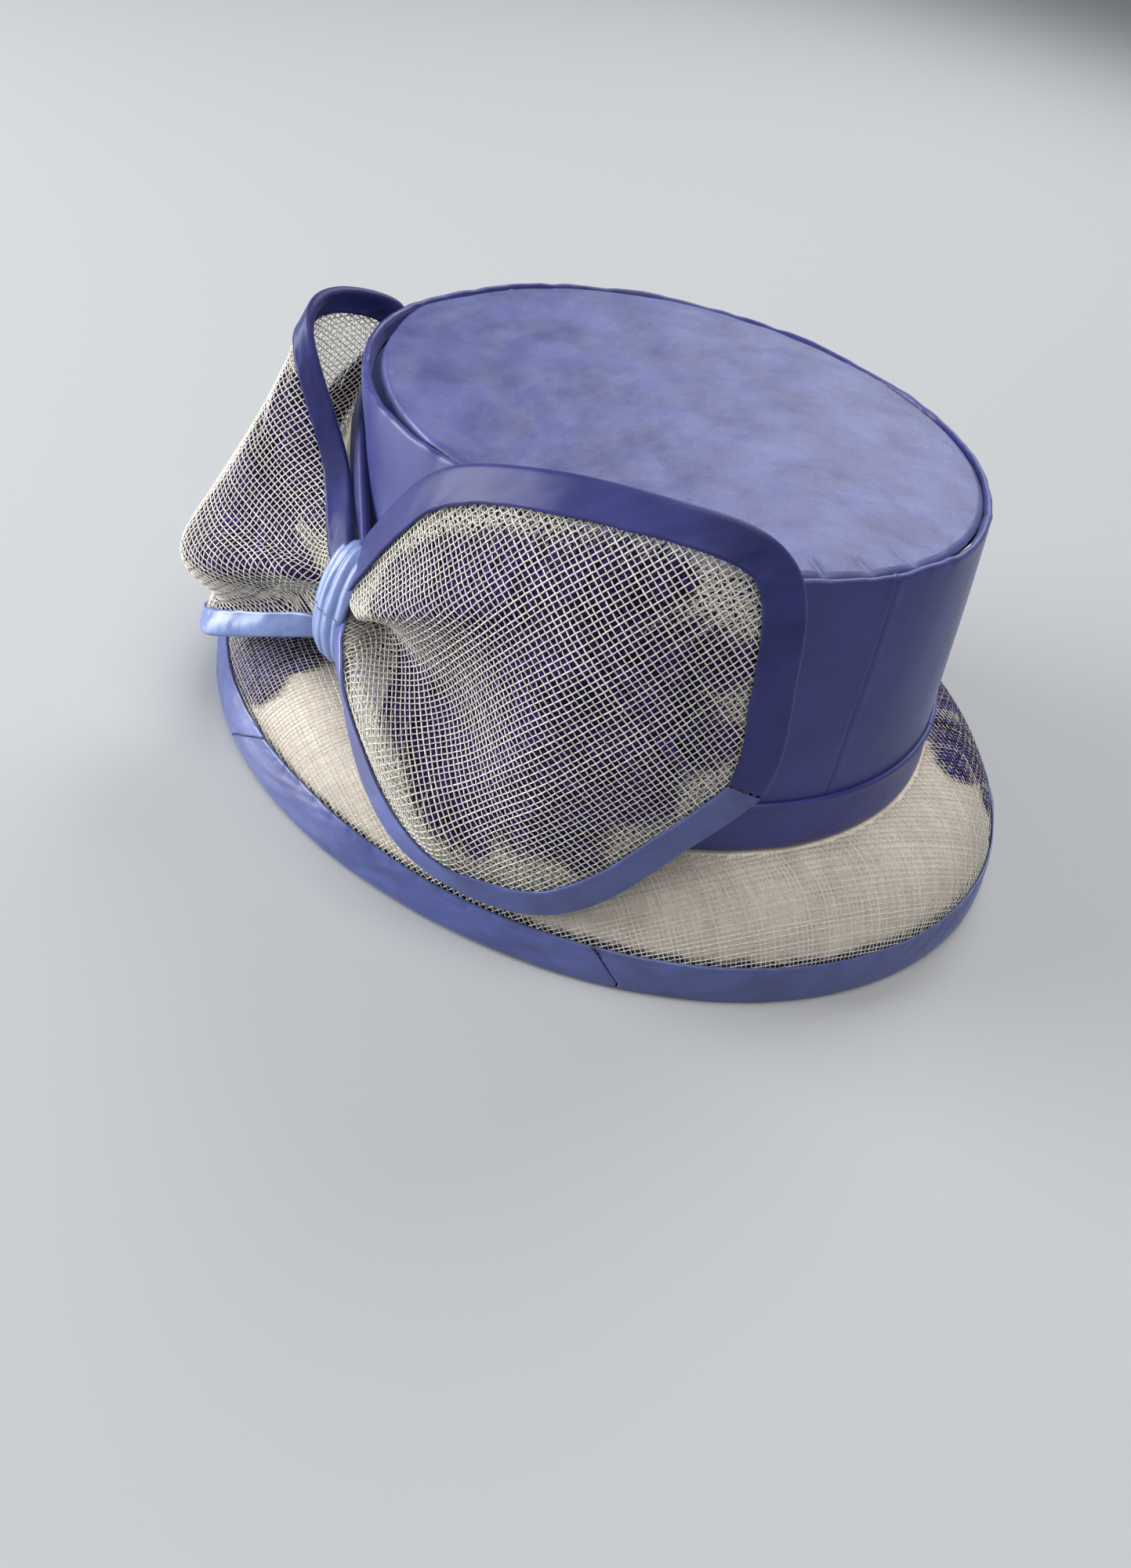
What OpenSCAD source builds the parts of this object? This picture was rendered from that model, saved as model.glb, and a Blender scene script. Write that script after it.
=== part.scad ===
// Occasion hat: a flat-topped satin crown on a bell brim of sinamay straw cloth,
// trimmed with a bow of one wide petal and one folded loop.
// Millimetres. Origin at the centre of the head opening, +Z up the crown,
// +X to the wearer's front, -Y to the wearer's right, where the bow sits.

/* [Crown] */
// Length of the flat tip, front to back
tip_len = 180; // [160:1:200]
// Width of the flat tip
tip_wid = 162; // [144:1:180]
// Length of the crown at its base
base_len = 202; // [196:1:208]
// Width of the crown at its base
base_wid = 182; // [176:1:188]
// Height of the crown above the brim
crown_h = 82; // [76:1:88]
// Height of the band round the crown base
band_h = 17; // [12:1:22]
// Direction of the side band's seam, seen from above
seam_angle = -35; // [-44:1:-32]

/* [Brim] */
// Length of the brim, front to back
brim_len = 280; // [274:1:300]
// Width of the brim
brim_wid = 230; // [224:1:250]
// Drop from the crown base to the brim edge
brim_drop = 36; // [32:1:42]
// Shift of the brim towards the back
brim_back = 3; // [0:0.5:5]
// Shift of the brim towards the wearer's left
brim_left = 2; // [0:0.5:4]
// Angle round the brim's curve where its binding starts
binding_from = 68; // [64:1:74]

/* [Bow] */
// Height of the petal's dome over its bound edge
petal_dome = 12; // [6:1:16]
// Width of the bow's satin bindings
bow_binding = 8.5; // [6:0.5:10]
// Thickness of one ply of sinamay
ply = 0.5; // [0.3:0.1:0.6]

/* [Hidden] */

satin = [0.42, 0.45, 0.74];
satin_shade = [0.33, 0.36, 0.64];
straw = [0.84, 0.81, 0.74];
straw_clear = [0.84, 0.81, 0.74, 0.6];
plume = [0.36, 0.28, 0.62];
lining_cloth = [0.72, 0.73, 0.84];
wire_white = [0.9, 0.9, 0.88];

turn_steps = 48;           // facets once round the head
turn = 360 / turn_steps;
brim_end = 86;             // angle round the brim's curve where its cloth ends
gap = 0.2;                 // slack between sewn layers

// ---- Solids from rings of points -------------------------------------------------

function total(values) = values * [for (v = values) 1];

// A solid from triangles listed with one consistent turn, put outside out.
module closed_body(points, faces) {
    inside_out = total([for (f = faces) cross(points[f[0]], points[f[1]]) * points[f[2]]]) > 0;
    polyhedron(points, inside_out ? [for (f = faces) [f[2], f[1], f[0]]] : faces, convexity = 10);
}

// Two triangles of the patch between points j and l of rings i and k. The split runs
// the same way on both faces of a layer, so that nested layers stay clear.
function patch(m, i, j, k, l, turned) =
    let (a = i * m + j, b = i * m + l, c = k * m + l, d = k * m + j)
    turned ? [[a, b, d], [b, c, d]] : [[a, b, c], [a, c, d]];

// Rings joined into a closed loop, as on a hoop.
module hoop_body(rings) {
    n = len(rings);
    m = len(rings[0]);
    closed_body(
        points = [for (r = rings) each r],
        faces = [for (i = [0:n - 1], j = [0:m - 1])
            each patch(m, i, j, (i + 1) % n, (j + 1) % m, j >= m / 2)]);
}

// Rings joined end to end; each ring runs out along one face and back along the
// other, so its two ends are closed by pairing those two runs.
module strip_body(rings) {
    n = len(rings);
    m = len(rings[0]);
    last = (n - 1) * m;
    closed_body(
        points = [for (r = rings) each r],
        faces = concat(
            [for (i = [0:n - 2], j = [0:m - 1])
                each patch(m, i, j, i + 1, (j + 1) % m, j >= m / 2)],
            [for (j = [0:m / 2 - 2]) each [
                [j, m - 1 - j, m - 2 - j],
                [j, m - 2 - j, j + 1],
                [last + j, last + m - 2 - j, last + m - 1 - j],
                [last + j, last + j + 1, last + m - 2 - j]]]));
}

// Rings closed by a single point at each end, as on a plate or a cup.
module pole_body(first, rings, last) {
    n = len(rings);
    m = len(rings[0]);
    end = n * m;
    closed_body(
        points = concat([for (r = rings) each r], [first, last]),
        faces = concat(
            [for (i = [0:n - 2], j = [0:m - 1])
                each patch(m, i, j, i + 1, (j + 1) % m, i >= n / 2)],
            [for (j = [0:m - 1])
                let (l = (j + 1) % m, e = (n - 1) * m) each [
                    [end, l, j],
                    [end + 1, e + j, e + l]]]));
}

// ---- Curves ----------------------------------------------------------------------

function unit(v) = v / norm(v);

// A smooth curve through points p, at t from 0 to 1.
function curve(p, t) =
    let (n = len(p) - 1, x = t * n, i = min(floor(x), n - 1), f = x - i,
         a = i > 0 ? p[i - 1] : 2 * p[0] - p[1],
         b = p[i], c = p[i + 1],
         d = i + 2 <= n ? p[i + 2] : 2 * p[n] - p[n - 1])
    b + 0.5 * f * (c - a + f * (2 * a - 5 * b + 4 * c - d + f * (3 * (b - c) + d - a)));

// The same through a closed ring of points.
function closed_curve(p, t) =
    let (n = len(p), x = (t - floor(t)) * n, i = min(floor(x), n - 1), f = x - i,
         a = p[(i + n - 1) % n], b = p[i], c = p[(i + 1) % n], d = p[(i + 2) % n])
    b + 0.5 * f * (c - a + f * (2 * a - 5 * b + 4 * c - d + f * (3 * (b - c) + d - a)));

// A round thread or wire along a route of [point, across, out] frames.
function tube_rings(frames, r) =
    [for (q = frames) [for (j = [0:5]) q[0] + r * (cos(60 * j) * q[1] + sin(60 * j) * q[2])]];

// ---- Crown and brim surfaces -----------------------------------------------------

// A point on the crown's side: direction a, height z, distance off outwards.
function crown_pt(a, z, off) =
    let (k = z / crown_h)
    [(base_len / 2 + (tip_len - base_len) / 2 * k + off) * cos(a),
     (base_wid / 2 + (tip_wid - base_wid) / 2 * k + off) * sin(a), z];

// A point on the tip: direction a, share f of the way out, height z.
function tip_pt(a, f, z) = [f * tip_len / 2 * cos(a), f * tip_wid / 2 * sin(a), z];

band_proud = 1;            // how far the hat band stands off the side satin

// A point on the brim: direction a, angle t round its curve (0 at the crown, 90 at
// the edge), distance off outwards.
function brim_pt(a, t, off) =
    let (s = sin(t),
         root_x = base_len / 2 + band_proud, root_y = base_wid / 2 + band_proud,
         rx = root_x + (brim_len / 2 - root_x) * s,
         ry = root_y + (brim_wid / 2 - root_y) * s,
         reach = 30,       // typical outward run of the brim's curve
         slope = norm([brim_drop * sin(t), reach * cos(t)]),
         nr = brim_drop * sin(t) / slope, nz = reach * cos(t) / slope)
    [(rx + off * nr) * cos(a) - brim_back * s, (ry + off * nr) * sin(a) + brim_left * s,
     brim_drop * (cos(t) - 1) + off * nz];

function crown_ring(z, off) = [for (i = [0:turn_steps - 1]) crown_pt(-i * turn, z, off)];
function tip_ring(f, z) = [for (i = [0:turn_steps - 1]) tip_pt(-i * turn, f, z)];

// A hoop whose section is a list of [height, distance off the crown's side].
module crown_hoop(section) {
    hoop_body([for (i = [0:turn_steps - 1]) [for (q = section) crown_pt(i * turn, q[0], q[1])]]);
}

// Directions from one to another in even steps.
function sweep(from, to, steps) = [for (i = [0:steps]) from + (to - from) * i / steps];

// ---- Crown pieces ----------------------------------------------------------------

rim_top = crown_h + 2;     // top of the folded rim of the side satin
tip_level = crown_h - 3.2; // underside of the stiff tip

module crown_tip_foundation() {
    inset = 0.94;
    color(straw) pole_body([0, 0, tip_level + 1.2],
        [tip_ring(inset, tip_level + 1.2), tip_ring(inset, tip_level)],
        [0, 0, tip_level]);
}

module crown_side_foundation() {
    top = crown_h - 1;
    color(straw) crown_hoop([[0.4, -1.9], [0.4, -0.7], [top, -0.7], [top, -1.9]]);
}

module crown_top_wire() {
    r = 0.55;
    color(wire_white)
        crown_hoop([for (j = [0:5]) [crown_h + 0.3 + r * sin(60 * j), -1.6 + r * cos(60 * j)]]);
}

module tip_wadding() {
    low = tip_level + 1.2 + gap;
    color("white") pole_body([0, 0, low + 3],
        [tip_ring(0.55, low + 2.8), tip_ring(0.86, low + 2.2), tip_ring(0.925, low + 0.6),
         tip_ring(0.925, low)],
        [0, 0, low]);
}

module tip_satin() {
    low = tip_level - 0.4;
    top = tip_level + 1.2 + 3 + 2 * gap;
    thick = 0.4;
    color(satin) pole_body([0, 0, top + thick],
        [tip_ring(0.55, top + thick - 0.2), tip_ring(0.87, top - 0.4), tip_ring(0.945, top - 1.6),
         tip_ring(0.965, low), tip_ring(0.96, low),
         tip_ring(0.938, top - 1.8), tip_ring(0.865, top - 0.8), tip_ring(0.55, top - 0.2)],
        [0, 0, top]);
}

// The side satin is one strip: up the outside, over the top wire and down inside it.
module side_satin() {
    seam_gap = 0.15;
    section = [[0.4, 0], [crown_h - 0.5, 0], [rim_top - 0.6, -0.5],
        [rim_top - 0.2, -1.6], [rim_top - 0.6, -2.7], [crown_h - 1.5, -2.9],
        [crown_h - 1.5, -2.5], [rim_top - 1, -2.3], [rim_top - 0.7, -1.6],
        [rim_top - 1, -0.9], [crown_h - 0.6, -0.5], [0.4, -0.5]];
    color(satin_shade) strip_body([
        for (a = sweep(seam_angle + seam_gap, seam_angle + 360 - seam_gap, turn_steps))
            [for (q = section) crown_pt(a, q[0], q[1])]]);
}

module hat_band() {
    top = band_h + 0.4;
    color(satin) crown_hoop([[0.4, gap], [0.4, band_proud], [top - 1, band_proud],
        [top, band_proud - 0.2], [top, gap]]);
}

module crown_lining() {
    top = tip_level - 1;
    color(lining_cloth) pole_body([0, 0, top],
        [crown_ring(top, -6), crown_ring(top - 2, -4.1), crown_ring(4, -4.1),
         crown_ring(4, -4.5), crown_ring(top - 2, -4.5), crown_ring(top - 0.4, -6.2)],
        [0, 0, top - 0.4]);
}

module sweatband() {
    color("ivory") crown_hoop([[-1, -5.4], [-1, -4.8], [22, -4.8], [22, -5.4]]);
}

// ---- Brim pieces -----------------------------------------------------------------

overlay_off = 0;           // outer face of the open sinamay
feather = 0.5;             // thickness of the pressed feathers
feather_off = -ply - gap;
base_off = feather_off - feather - gap;
base_thick = 1.4;

brim_rows = [for (i = [0:5]) 6 + 16 * i];   // angles round the curve, the last at brim_end

// A section across the brim between two of its rows and two faces.
function brim_section(a, first, last, outer, inner) = concat(
    [for (i = [first:last]) brim_pt(a, brim_rows[i], outer)],
    [for (i = [last:-1:first]) brim_pt(a, brim_rows[i], inner)]);

// The stiff brim and the collar that stands up inside the crown.
module brim_base() {
    collar_h = 12;
    color(straw) hoop_body([for (i = [0:turn_steps - 1]) let (a = i * turn) concat(
        [crown_pt(a, collar_h, -3.5), crown_pt(a, collar_h, -2.2), crown_pt(a, -1.2, -2.2)],
        brim_section(a, 0, 5, base_off, base_off - base_thick),
        [crown_pt(a, base_off - base_thick, -3.5)])]);
}

module brim_overlay() {
    color(straw_clear) hoop_body([for (i = [0:turn_steps - 1])
        let (a = i * turn) concat(
            [crown_pt(a, -ply, -1.8), crown_pt(a, 0, -1.8)],
            brim_section(a, 0, 5, overlay_off, overlay_off - ply))]);
}

// A patch of feather between the brim's two layers, from one facet to another.
module brim_feather_patch(from, to) {
    color(plume) strip_body([for (i = [from:to])
        brim_section(i * turn, 1, 3, feather_off, feather_off - feather)]);
}

module brim_feathers_front() { brim_feather_patch(-4, 3); }
module brim_feathers_back() { brim_feather_patch(25, 30); }

module brim_wire() {
    r = 0.7;
    color(wire_white) hoop_body([for (i = [0:turn_steps - 1])
        let (mid = brim_pt(i * turn, brim_end, base_off - 0.2) - [0, 0, r + gap])
        [for (j = [0:5]) mid + r * (cos(60 * j) * [cos(i * turn), sin(i * turn), 0]
            + [0, 0, sin(60 * j)])]]);
}

// Satin folded over the brim's edge: outer leg, fold and inner leg.
module brim_binding(from, to, steps) {
    thick = 0.45;
    outer = overlay_off + gap;
    inner = base_off - base_thick - gap;
    middle = (outer + inner) / 2;
    halfway = (binding_from + brim_end) / 2;
    round = 0.4;           // how far the fold's corners are rounded
    // A point of the fold at a distance off the brim, lifted off the fold's lowest line.
    function fold(a, off, lift) =
        let (q = brim_pt(a, brim_end, off)) [q[0], q[1], lift - brim_drop];
    color(satin) strip_body([for (a = sweep(from, to, steps)) [
        brim_pt(a, binding_from, outer + thick), brim_pt(a, halfway, outer + thick),
        brim_pt(a, brim_end, outer + thick), fold(a, outer - round, round),
        fold(a, middle, 0), fold(a, inner + round, round),
        brim_pt(a, brim_end, inner - thick), brim_pt(a, binding_from, inner - thick),
        brim_pt(a, binding_from, inner), brim_pt(a, brim_end, inner),
        fold(a, inner + round, round + thick), fold(a, middle, thick),
        fold(a, outer - round, round + thick), brim_pt(a, brim_end, outer),
        brim_pt(a, halfway, outer), brim_pt(a, binding_from, outer)]]);
}

back_join = -128;          // where the brim binding's two strips meet towards the back
side_join = -70;           // and towards the front

module brim_binding_short() { brim_binding(back_join, side_join - 0.2, 8); }
module brim_binding_long() { brim_binding(side_join, back_join + 360 - 0.2, 40); }

// ---- Petal -----------------------------------------------------------------------

// The petal lies on a leaning face in front of the crown's side. Its own axes run
// forward (u), up the lean (v) and out from the crown (w).
petal_centre = [8, -98, 44];
petal_lean = 14;
petal_v = [0, sin(petal_lean), cos(petal_lean)];
petal_w = [0, -cos(petal_lean), sin(petal_lean)];
petal_wrap = 100;          // radius at which the petal bends round the crown
petal_flare = 150;         // how slowly the bend opens towards the brim
petal_mid = [-5, 0];

// The bound edge, from the knot over the top and back.
petal_edge = [[-77, -8], [-63, 20], [-44.5, 43], [-14, 55], [14, 59], [36, 58.5], [48.5, 48],
    [54.5, 23.5], [58, -3], [46, -24], [27.5, -51], [5, -62], [-27.5, -60.5], [-50.5, -44],
    [-68, -20]];
petal_steps = 36;

// A point on the petal: t round its edge, share f of the way out, distance w off it.
function petal_pt(t, f, w) =
    let (q = petal_mid + f * (closed_curve(petal_edge, t) - petal_mid),
         bend = 1 + min(q[1], 0) / petal_flare,
         rise = petal_dome * (1 - f * f) - bend * q[0] * q[0] / (2 * petal_wrap))
    petal_centre + [q[0], 0, 0] + q[1] * petal_v + (rise + w) * petal_w;

// Edge frame: the edge point, the way in along the cloth and the way out of it.
function petal_frame(t) =
    let (e = petal_pt(t, 1, 0),
         run = unit(petal_pt(t + 0.01, 1, 0) - petal_pt(t - 0.01, 1, 0)),
         to_mid = petal_pt(t, 0.9, 0) - e,
         in_dir = unit(to_mid - (to_mid * run) * run))
    [e, in_dir, cross(run, in_dir) * -1];

function petal_ring(f, w) = [for (i = [0:petal_steps - 1]) petal_pt(i / petal_steps, f, w)];

// One layer of the petal out to the last of the rings.
module petal_sheet(outer, thick, rings) {
    pole_body(petal_pt(0, 0, outer),
        concat([for (i = [0:rings - 1]) petal_ring(petal_shares[i], outer)],
               [for (i = [rings - 1:-1:0]) petal_ring(petal_shares[i], outer - thick)]),
        petal_pt(0, 0, outer - thick));
}

petal_shares = [0.25, 0.55, 0.8, 0.975];   // rings of the cloth, the last under the binding
sandwich = feather + 2 * gap + 2 * ply;    // two plies and the feathers between them

module petal_outer_ply() { color(straw_clear) petal_sheet(sandwich / 2, ply, 4); }
module petal_inner_ply() { color(straw_clear) petal_sheet(-sandwich / 2 + ply, ply, 4); }
module petal_feathers() { color(plume) petal_sheet(feather / 2, feather, 2); }

wire_r = 0.45;
wire_in = 0.5;             // how far inside the edge the wires run
bow_satin = 0.35;          // thickness of the bow's satin
binding_half = sandwich / 2 + gap;

// Satin folded over an edge whose frames are [point, in, out].
function binding_rings(frames, wide) =
    let (half = binding_half, face = half + bow_satin,
         bend = 0.6,       // where the faces start to turn round the edge
         fold = -1,        // the fold's outermost line
         section = [[wide, face], [bend, face], [fold, 0], [bend, -face], [wide, -face],
             [wide, -half], [bend + 0.2, -half], [fold + 0.5, 0], [bend + 0.2, half], [wide, half]])
    [for (q = frames) [for (s = section) q[0] + s[0] * q[1] + s[1] * q[2]]];

module petal_wire() {
    frames = [for (i = [0:petal_steps - 1]) petal_frame(i / petal_steps)];
    color(wire_white)
        hoop_body(tube_rings([for (q = frames) [q[0] + wire_in * q[1], q[1], q[2]]], wire_r));
}

petal_kink = 8.15 / 15;    // share of the edge at which its two bindings are mitred

module petal_binding(from, to, steps) {
    color(satin)
        strip_body(binding_rings([for (t = sweep(from, to, steps)) petal_frame(t)], bow_binding));
}

module petal_binding_top() { petal_binding(0.002, petal_kink - 0.001, 22); }
module petal_binding_bottom() { petal_binding(petal_kink + 0.001, 0.998, 18); }

// ---- Loop ------------------------------------------------------------------------

// The loop is one strip from the knot, out and round, and back to the knot. Each row
// crosses it from the lower edge to the upper edge.
loop_rows = [
    [[-67.5, -77.8, 17], [-67.5, -77.6, 26], [-66.5, -77.2, 36], [-63, -75.8, 45.5]],
    [[-92, -80, 6.5], [-98, -80, 24], [-97, -66, 44], [-81.5, -50.5, 55]],
    [[-109, -80, -1], [-117, -72, 21], [-112, -58, 56], [-102, -40, 85]],
    [[-115.5, -66, -7], [-121.5, -54, 22], [-116, -38, 58], [-105, -22, 90]],
    [[-107, -48, 0], [-110, -34, 24], [-103, -16, 54], [-93, -4, 82]],
    [[-97, -50, 8], [-97, -42, 26], [-92, -35, 46], [-86.5, -34, 68]],
    [[-64.8, -75.5, 17], [-64.8, -75, 26], [-62.8, -74, 36], [-59.8, -73, 45.5]]];
loop_steps = 20;

// A point on the loop: share s along the strip, share w across it.
function loop_mid(s, w) = curve([for (row = loop_rows) curve(row, w)], s);

// The way out of the loop's hollow at a point.
function loop_out(s, w) =
    let (d = 0.01, s0 = max(s - d, 0), s1 = min(s + d, 1), w0 = max(w - d, 0), w1 = min(w + d, 1))
    unit(cross(loop_mid(s, w1) - loop_mid(s, w0), loop_mid(s1, w) - loop_mid(s0, w))) * -1;

function loop_pt(s, w, off) = loop_mid(s, w) + off * loop_out(s, w);

// Edge frame of the loop at its lower (w = 0) or upper (w = 1) edge.
function loop_frame(s, w) =
    let (e = loop_mid(s, w), s0 = max(s - 0.01, 0), s1 = min(s + 0.01, 1),
         run = unit(loop_mid(s1, w) - loop_mid(s0, w)),
         across = loop_mid(s, w == 0 ? 0.05 : 0.95) - e,
         in_dir = unit(across - (across * run) * run),
         side = w == 0 ? 1 : -1)
    [e, in_dir, side * cross(run, in_dir)];

loop_binding_w = bow_binding - 1.5;
cloth_inset = 1.2;         // how far inside its binding's fold the cloth ends
cloth_rows = 6;

// A point of the loop's cloth on row j across it. The outer two rows at each edge run
// straight in under the binding.
function cloth_pt(s, j, off) =
    let (q = loop_frame(s, j < cloth_rows / 2 ? 0 : 1),
         depth = j == 0 || j == cloth_rows ? cloth_inset : loop_binding_w)
    j > 1 && j < cloth_rows - 1
        ? loop_pt(s, 0.5 + 0.15 * (j - cloth_rows / 2), off)
        : q[0] + depth * q[1] + off * q[2];

// One layer of the loop between two steps along it and two rows across it.
module loop_sheet(outer, thick, first, last, low, high) {
    strip_body([for (i = [first:last]) let (s = i / loop_steps) concat(
        [for (j = [low:high]) cloth_pt(s, j, outer)],
        [for (j = [high:-1:low]) cloth_pt(s, j, outer - thick)])]);
}

module loop_outer_ply() {
    color(straw_clear) loop_sheet(sandwich / 2, ply, 0, loop_steps, 0, cloth_rows);
}

module loop_inner_ply() {
    color(straw_clear) loop_sheet(-sandwich / 2 + ply, ply, 0, loop_steps, 0, cloth_rows);
}

module loop_feathers() {
    color(plume) loop_sheet(feather / 2, feather, 3, loop_steps - 3, 1, cloth_rows - 1);
}

module loop_wire(w) {
    frames = [for (s = sweep(0.01, 0.99, loop_steps)) loop_frame(s, w)];
    color(wire_white)
        strip_body(tube_rings([for (q = frames) [q[0] + wire_in * q[1], q[1], q[2]]], wire_r));
}

module loop_upper_wire() { loop_wire(1); }
module loop_lower_wire() { loop_wire(0); }

module loop_binding(w) {
    color(satin)
        strip_body(binding_rings([for (s = sweep(0, 1, loop_steps)) loop_frame(s, w)], loop_binding_w));
}

module loop_upper_binding() { loop_binding(1); }
module loop_lower_binding() { loop_binding(0); }

// ---- Knot ------------------------------------------------------------------------

knot_centre = [-62, -77.5, 30.5];
knot_angle = -112;         // direction of the knot, seen from above
knot_lean = 12;            // how far its top leans towards the crown
knot_out = [cos(knot_angle), sin(knot_angle), 0];
knot_along = [-sin(knot_angle), cos(knot_angle), 0];
knot_up = [0, 0, cos(knot_lean)] - sin(knot_lean) * knot_out;
knot_half_h = 17.5;
knot_half_d = 7.5;
knot_w = 12;
knot_thick = 1;

// A point round the knot: angle a, shrunk by inset, moved along the bow.
function knot_pt(a, inset, along) = knot_centre + along * knot_along
    + (knot_half_d - inset) * cos(a) * knot_out + (knot_half_h - inset) * sin(a) * knot_up;

// The satin wrap round the gathered cloth.
module bow_knot() {
    edge = knot_w / 2;
    slope = 0.5;           // how much lower its edges lie than its middle
    low = slope + knot_thick;
    section = [[slope, -edge], [0, 0], [slope, edge], [low, edge], [knot_thick, 0], [low, -edge]];
    color(satin) hoop_body([for (a = [0:15:345]) [for (q = section) knot_pt(a, q[0], q[1])]]);
}

// The thread that was wound round the gathers before the wrap went on.
module gather_thread() {
    r = 0.45;
    under = 0.8;           // how far below the wrap it lies
    color("white") hoop_body([for (a = [0:15:345])
        [for (j = [0:5]) knot_pt(a, knot_thick + under + r * (1 + cos(60 * j)), r * sin(60 * j))]]);
}

// Stitches from the knot into the crown.
module bow_tacks() {
    spread = 7;            // above and below the knot's middle
    stitch_r = 0.35;
    stitch_len = 4;
    color(satin_shade) for (h = [-spread, spread])
        translate(knot_centre + h * knot_up - (knot_half_d + 0.3) * knot_out)
            rotate([0, 90, knot_angle])
                cylinder(r = stitch_r, h = stitch_len, center = true, $fn = 16);
}

// ---- Parts -----------------------------------------------------------------------

crown_tip_foundation();
crown_side_foundation();
crown_top_wire();
tip_wadding();
tip_satin();
side_satin();
hat_band();
crown_lining();
sweatband();
brim_base();
brim_feathers_front();
brim_feathers_back();
brim_overlay();
brim_wire();
brim_binding_long();
brim_binding_short();
petal_outer_ply();
petal_feathers();
petal_inner_ply();
petal_wire();
petal_binding_top();
petal_binding_bottom();
loop_outer_ply();
loop_feathers();
loop_inner_ply();
loop_upper_wire();
loop_lower_wire();
loop_upper_binding();
loop_lower_binding();
bow_knot();
gather_thread();
bow_tacks();
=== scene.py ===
"""An occasion hat of satin, open straw cloth and feathers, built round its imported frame.

Lengths here are millimetres and angles degrees, in the row frame: origin at the head
opening, +Z up the crown, +X to the wearer's front, -Y to the wearer's right.
"""
import math

import bpy
import bmesh
import numpy as np
from mathutils import Matrix, Vector


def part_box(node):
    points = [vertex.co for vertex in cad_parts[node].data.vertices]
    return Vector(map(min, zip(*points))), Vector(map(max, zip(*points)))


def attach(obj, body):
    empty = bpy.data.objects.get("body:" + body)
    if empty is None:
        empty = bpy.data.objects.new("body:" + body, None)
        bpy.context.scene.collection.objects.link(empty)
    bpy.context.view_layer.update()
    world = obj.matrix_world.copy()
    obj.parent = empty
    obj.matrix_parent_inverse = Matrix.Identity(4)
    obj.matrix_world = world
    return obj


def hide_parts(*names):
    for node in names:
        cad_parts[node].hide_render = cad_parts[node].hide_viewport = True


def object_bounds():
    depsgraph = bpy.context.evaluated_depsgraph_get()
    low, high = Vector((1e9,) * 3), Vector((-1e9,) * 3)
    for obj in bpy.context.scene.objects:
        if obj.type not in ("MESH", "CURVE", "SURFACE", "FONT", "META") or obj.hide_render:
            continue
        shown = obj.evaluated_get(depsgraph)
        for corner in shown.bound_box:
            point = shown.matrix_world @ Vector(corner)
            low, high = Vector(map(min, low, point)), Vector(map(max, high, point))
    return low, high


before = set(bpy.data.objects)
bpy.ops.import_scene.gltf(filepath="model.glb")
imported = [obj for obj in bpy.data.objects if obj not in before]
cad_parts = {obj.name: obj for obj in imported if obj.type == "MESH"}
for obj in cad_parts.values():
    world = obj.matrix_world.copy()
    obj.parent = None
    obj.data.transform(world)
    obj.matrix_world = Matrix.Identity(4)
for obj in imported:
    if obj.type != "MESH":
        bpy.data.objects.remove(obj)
cad_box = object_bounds()

MM = 0.001
BODY = "root"


# ---- Sizes, taken from the frame ---------------------------------------------------

def node_box(node):
    """Lowest and highest corners of a CAD node, in millimetres."""
    return [np.array(corner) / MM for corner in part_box(node)]


SATIN_HIGH = node_box("side_satin")[1]
BAND_HIGH = node_box("hat_band")[1]
NET_LOW, NET_HIGH = node_box("brim_overlay")
WIRE_HIGH = node_box("crown_top_wire")[1]

BAND_PROUD = 1.0                                   # hat band stands this far off the satin
ROOT = BAND_HIGH[:2]                               # half axes of the oval where the brim starts
BASE = ROOT - BAND_PROUD                           # half axes of the crown's base
CROWN_H = 82.0
RIM_TOP = SATIN_HIGH[2]
TIP = WIRE_HIGH[:2] + 1.05                         # half axes of the crown's top
BRIM_DROP = 36.0
BRIM_EDGE = (NET_HIGH - NET_LOW)[:2] / 2 + 0.1     # half axes of the brim's edge
BRIM_SHIFT = np.array([-3.0, 2.0])
BRIM_REACH = 30.0                                  # typical outward run of the brim's curve
BRIM_END = 86.0                                    # angle round the curve where the cloth ends
BINDING_FROM = 68.0                                # and where the binding starts
SEAM = -35.0                                       # direction of the side satin's seam
SEAM_SLANT = 2.4                                   # degrees it leans from base to top
BULGE, BULGE_AT = 5.8, 208.0                       # the satin's fullness at the rim, over the loop
BACK_JOIN, SIDE_JOIN = -128.0, -70.0               # joins of the brim binding
FEATHER_OFF = -0.7                                 # outer face of the feathers under the net
BASE_OFF = -1.4                                    # outer face of the stiff brim
BASE_THICK = 1.4

CROWN_DEGREE, BAND_DEGREE, BRIM_DEGREE = 1.66, 1.68, 2.26     # length of one degree round each

BRIM_PITCH, BOW_PITCH = 1.47, 1.68                 # spacing of the straw threads
BRIM_GRAIN, BOW_GRAIN, BACK_GRAIN = 48.0, 50.0, 5.0     # directions of the threads


# ---- Small maths -------------------------------------------------------------------

def unit(v):
    """Vectors brought to length 1."""
    return v / np.maximum(np.linalg.norm(v, axis=-1, keepdims=True), 1e-9)


def cosd(a):
    return np.cos(np.radians(a))


def sind(a):
    return np.sin(np.radians(a))


def smooth(low, high, x):
    """0 below low, 1 above high and a smooth rise between; a fall where low is the larger."""
    s = np.clip((x - low) / (high - low), 0, 1)
    return s * s * (3 - 2 * s)


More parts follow.
